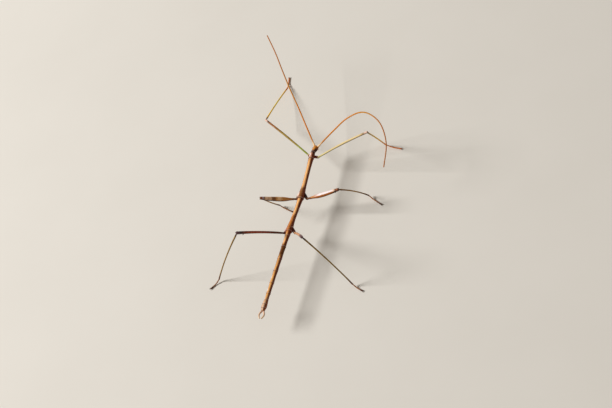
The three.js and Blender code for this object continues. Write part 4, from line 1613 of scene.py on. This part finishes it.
def claw_skin(leg, sign, width):
    """One hooked claw beside the pad of a foot, its point on the floor."""
    toe, yaw = LEG_LINES[leg][1], POSES[leg].tarsus_yaw
    ahead, beside = heading(yaw, 0), heading(yaw + 90, 0) * sign
    root, crook = (
        toe + forward * ahead + out * beside + up * WORLD_UP for forward, out, up in (CLAW_ROOT, CLAW_CROOK)
    )
    tip = toe + CLAW_TIP[0] * ahead + CLAW_TIP[1] * beside
    tip[2] = CLAW_TIP_HEIGHT
    widths = (*(width * share for share in CLAW_TAPER), CLAW_TIP_WIDTH)
    hook = limb(bezier(root, crook, tip), widths, CLAW_TIP_WIDTH / 2, spacing=0.05, around=12, keels=0)
    return grounded(hook)


def make_claws(settings):
    """A pair of hooked claws on each foot."""
    material = claw_horn(settings)
    for leg in LEG_LINES:
        skins = [claw_skin(leg, sign, settings.claw_width / MM) for sign in SIDES.values()]
        claws = joined(f"{leg}_claw_pair", skins)
        finish_piece(claws, material, [f"{leg}_claws"])


# ---- Tail --------------------------------------------------------------------------------

# A clasper's root, crook and tip as distance from the tail tip and out to the side, how low
# they lie, and its widths. Its tooth lies at a distance from the tail tip, out and up.
CLASPER_PLACES = ((3.05, 0.36), (1.5, 1.36), (0.28, 0.3))
CLASPER_DROP = 0.05
CLASPER_WIDTHS = (0.6, 0.6, 0.58, 0.56, 0.52, 0.44)
TOOTH_FROM_TAIL, TOOTH_OUT, TOOTH_UP = 2.62, 0.42, -0.12
TOOTH_HALF = (0.22, 0.26, 0.2)


def clasper_line(sign):
    """The bowed path of a clasper, from the last plate to where the two tips meet."""
    return bezier(*(
        SPINE_LINE.place(from_tail, -sign * out, -CLASPER_DROP) for from_tail, out in CLASPER_PLACES
    ))


def make_claspers(settings):
    """The pair of in-curved claspers that close a loop behind the last plate."""
    material = clasper_cuticle(settings)
    tooth_behind = SPINE_LINE.length - TOOTH_FROM_TAIL
    for side, sign in SIDES.items():
        line = clasper_line(sign)
        hook = limb(line, CLASPER_WIDTHS, cap=0.15, spacing=0.06, around=24, keels=0.04)
        tooth = spine_egg((tooth_behind, sign * TOOTH_OUT, TOOTH_UP), TOOTH_HALF, around=16, rings=10)
        clasper = joined(f"{side}_cercus", [hook, tooth])
        mark_places(clasper.data, [line])
        finish_piece(clasper, material, [f"{side}_clasper"])


# ---- Stage -------------------------------------------------------------------------------

# The floor's half width, then the camera: its lens, the way to it, and how far off it stands and
# where it aims, in millimetres and degrees from the floor under the hind hips.
FLOOR_HALF = 1500.0
CAMERA_LENS = 100.0
CAMERA_AZIMUTH, CAMERA_ELEVATION, CAMERA_ROLL = 211.032, 48.615, -20.964
CAMERA_DISTANCE = 582.439
CAMERA_AIM = (3.566, 14.01)
CAMERA_NEAREST = 0.01

# Lights: the way to each as azimuth and rise in degrees, then its distance and size in metres.
KEY_LIGHT = (103, 36, 1.6, 0.45)
FILL_LIGHT = (-60, 55, 0.9, 0.8)
SKY_COLOUR = "#FFF4E6"


def add_floor(settings):
    """A wide pale floor under the feet."""
    corners = np.array(((-1, -1, 0), (1, -1, 0), (1, 1, 0), (-1, 1, 0))) * FLOOR_HALF
    mesh = bpy.data.meshes.new("floor")
    mesh.from_pydata((corners * MM).tolist(), [], [(0, 1, 2, 3)])
    mesh.materials.append(floor_board(settings))
    floor = bpy.data.objects.new("floor", mesh)
    bpy.context.scene.collection.objects.link(floor)


def add_light(name, power, azimuth, elevation, distance, width):
    """A square soft light that looks at the middle of the insect."""
    light = bpy.data.lights.new(name, "AREA")
    light.energy = power
    light.size = width
    made = bpy.data.objects.new(name, light)
    away = Vector(heading(azimuth, elevation))
    made.location = away * distance
    made.rotation_euler = away.to_track_quat("Z", "Y").to_euler()
    bpy.context.scene.collection.objects.link(made)


def add_camera():
    """A long lens above and behind the insect's right, turned so that the head points up."""
    back = heading(CAMERA_AZIMUTH, CAMERA_ELEVATION)
    level = unit(np.cross(WORLD_UP, back))
    upright = np.cross(back, level)
    roll = math.radians(CAMERA_ROLL)
    right = math.cos(roll) * level + math.sin(roll) * upright
    up = -math.sin(roll) * level + math.cos(roll) * upright
    aim = CAMERA_AIM[0] * right + CAMERA_AIM[1] * up
    place = (aim + CAMERA_DISTANCE * back + SHIFT) * MM
    lens = bpy.data.cameras.new("camera")
    lens.lens = CAMERA_LENS
    lens.clip_start = CAMERA_NEAREST
    camera = bpy.data.objects.new("camera", lens)
    turn = Matrix((right, up, back)).transposed().to_4x4()
    camera.matrix_world = Matrix.Translation(place) @ turn
    bpy.context.scene.collection.objects.link(camera)
    bpy.context.scene.camera = camera


def make_stage(settings):
    """Floor, soft light and camera."""
    add_floor(settings)
    add_light("key_light", settings.key_power, *KEY_LIGHT)
    add_light("fill_light", settings.fill_power, *FILL_LIGHT)
    world = bpy.data.worlds.new("studio_air")
    world.use_nodes = True
    air = world.node_tree.nodes["Background"]
    air.inputs["Color"].default_value = linear(SKY_COLOUR)
    air.inputs["Strength"].default_value = settings.sky
    bpy.context.scene.world = world
    bpy.context.scene.view_settings.view_transform = "Standard"
    add_camera()


# ---- Operators, panel and registration ---------------------------------------------------


class MakeStage(bpy.types.Operator):
    """Make the pale floor, the soft lights and the camera"""

    bl_idname = "walkingstick.stage"
    bl_label = "Stage"

    def execute(self, context):
        make_stage(context.scene.walkingstick_stage)
        return {"FINISHED"}


class MakeTrunk(bpy.types.Operator):
    """Make the skin of the head, thorax and abdomen"""

    bl_idname = "walkingstick.trunk"
    bl_label = "Trunk"

    def execute(self, context):
        make_trunk(context.scene.walkingstick_trunk)
        return {"FINISHED"}


class MakeHeadParts(bpy.types.Operator):
    """Make the eyes and the parts of the mouth"""

    bl_idname = "walkingstick.head_parts"
    bl_label = "Eyes and mouthparts"

    def execute(self, context):
        make_eyes(context.scene.walkingstick_trunk)
        make_mouthparts(context.scene.walkingstick_trunk)
        return {"FINISHED"}


class MakeAntennae(bpy.types.Operator):
    """Make the two ringed antennae"""

    bl_idname = "walkingstick.antennae"
    bl_label = "Antennae"

    def execute(self, context):
        make_antennae(context.scene.walkingstick_antennae)
        return {"FINISHED"}


class MakeLegs(bpy.types.Operator):
    """Make the six legs, each one skin from hip to foot"""

    bl_idname = "walkingstick.legs"
    bl_label = "Legs"

    def execute(self, context):
        make_legs("front", context.scene.walkingstick_front_legs)
        make_legs("mid", context.scene.walkingstick_mid_legs)
        make_legs("hind", context.scene.walkingstick_hind_legs)
        return {"FINISHED"}


class MakeClaws(bpy.types.Operator):
    """Make the pair of claws on each foot"""

    bl_idname = "walkingstick.claws"
    bl_label = "Claws"

    def execute(self, context):
        make_claws(context.scene.walkingstick_feet)
        return {"FINISHED"}


class MakeClaspers(bpy.types.Operator):
    """Make the pair of claspers at the tail"""

    bl_idname = "walkingstick.claspers"
    bl_label = "Claspers"

    def execute(self, context):
        make_claspers(context.scene.walkingstick_trunk)
        return {"FINISHED"}


OPERATORS = (MakeStage, MakeTrunk, MakeHeadParts, MakeAntennae, MakeLegs, MakeClaws, MakeClaspers)
SETTINGS = {
    "walkingstick_trunk": TrunkSettings,
    "walkingstick_antennae": AntennaSettings,
    "walkingstick_front_legs": FrontLegSettings,
    "walkingstick_mid_legs": MidLegSettings,
    "walkingstick_hind_legs": HindLegSettings,
    "walkingstick_feet": FootSettings,
    "walkingstick_stage": StageSettings,
}


class WalkingstickPanel(bpy.types.Panel):
    """Lists the pieces of the insect and what can be changed about them"""

    bl_idname = "VIEW3D_PT_walkingstick"
    bl_label = "Walkingstick"
    bl_space_type = "VIEW_3D"
    bl_region_type = "UI"
    bl_category = "Walkingstick"

    def draw(self, context):
        for operator in OPERATORS:
            self.layout.operator(operator.bl_idname, text=operator.bl_label)
        for name, group in SETTINGS.items():
            box = self.layout.box()
            box.label(text=group.__doc__)
            for field in group.__annotations__:
                box.prop(getattr(context.scene, name), field)


def register():
    for kind in (*SETTINGS.values(), *OPERATORS, WalkingstickPanel):
        bpy.utils.register_class(kind)
    for name, group in SETTINGS.items():
        setattr(bpy.types.Scene, name, PointerProperty(type=group))


def unregister():
    for name in SETTINGS:
        delattr(bpy.types.Scene, name)
    for kind in (WalkingstickPanel, *reversed(OPERATORS), *SETTINGS.values()):
        bpy.utils.unregister_class(kind)


def main():
    """Makes the whole insect on its stage."""
    register()
    bpy.ops.walkingstick.stage()
    bpy.ops.walkingstick.trunk()
    bpy.ops.walkingstick.head_parts()
    bpy.ops.walkingstick.antennae()
    bpy.ops.walkingstick.legs()
    bpy.ops.walkingstick.claws()
    bpy.ops.walkingstick.claspers()


if __name__ == "__main__":
    main()
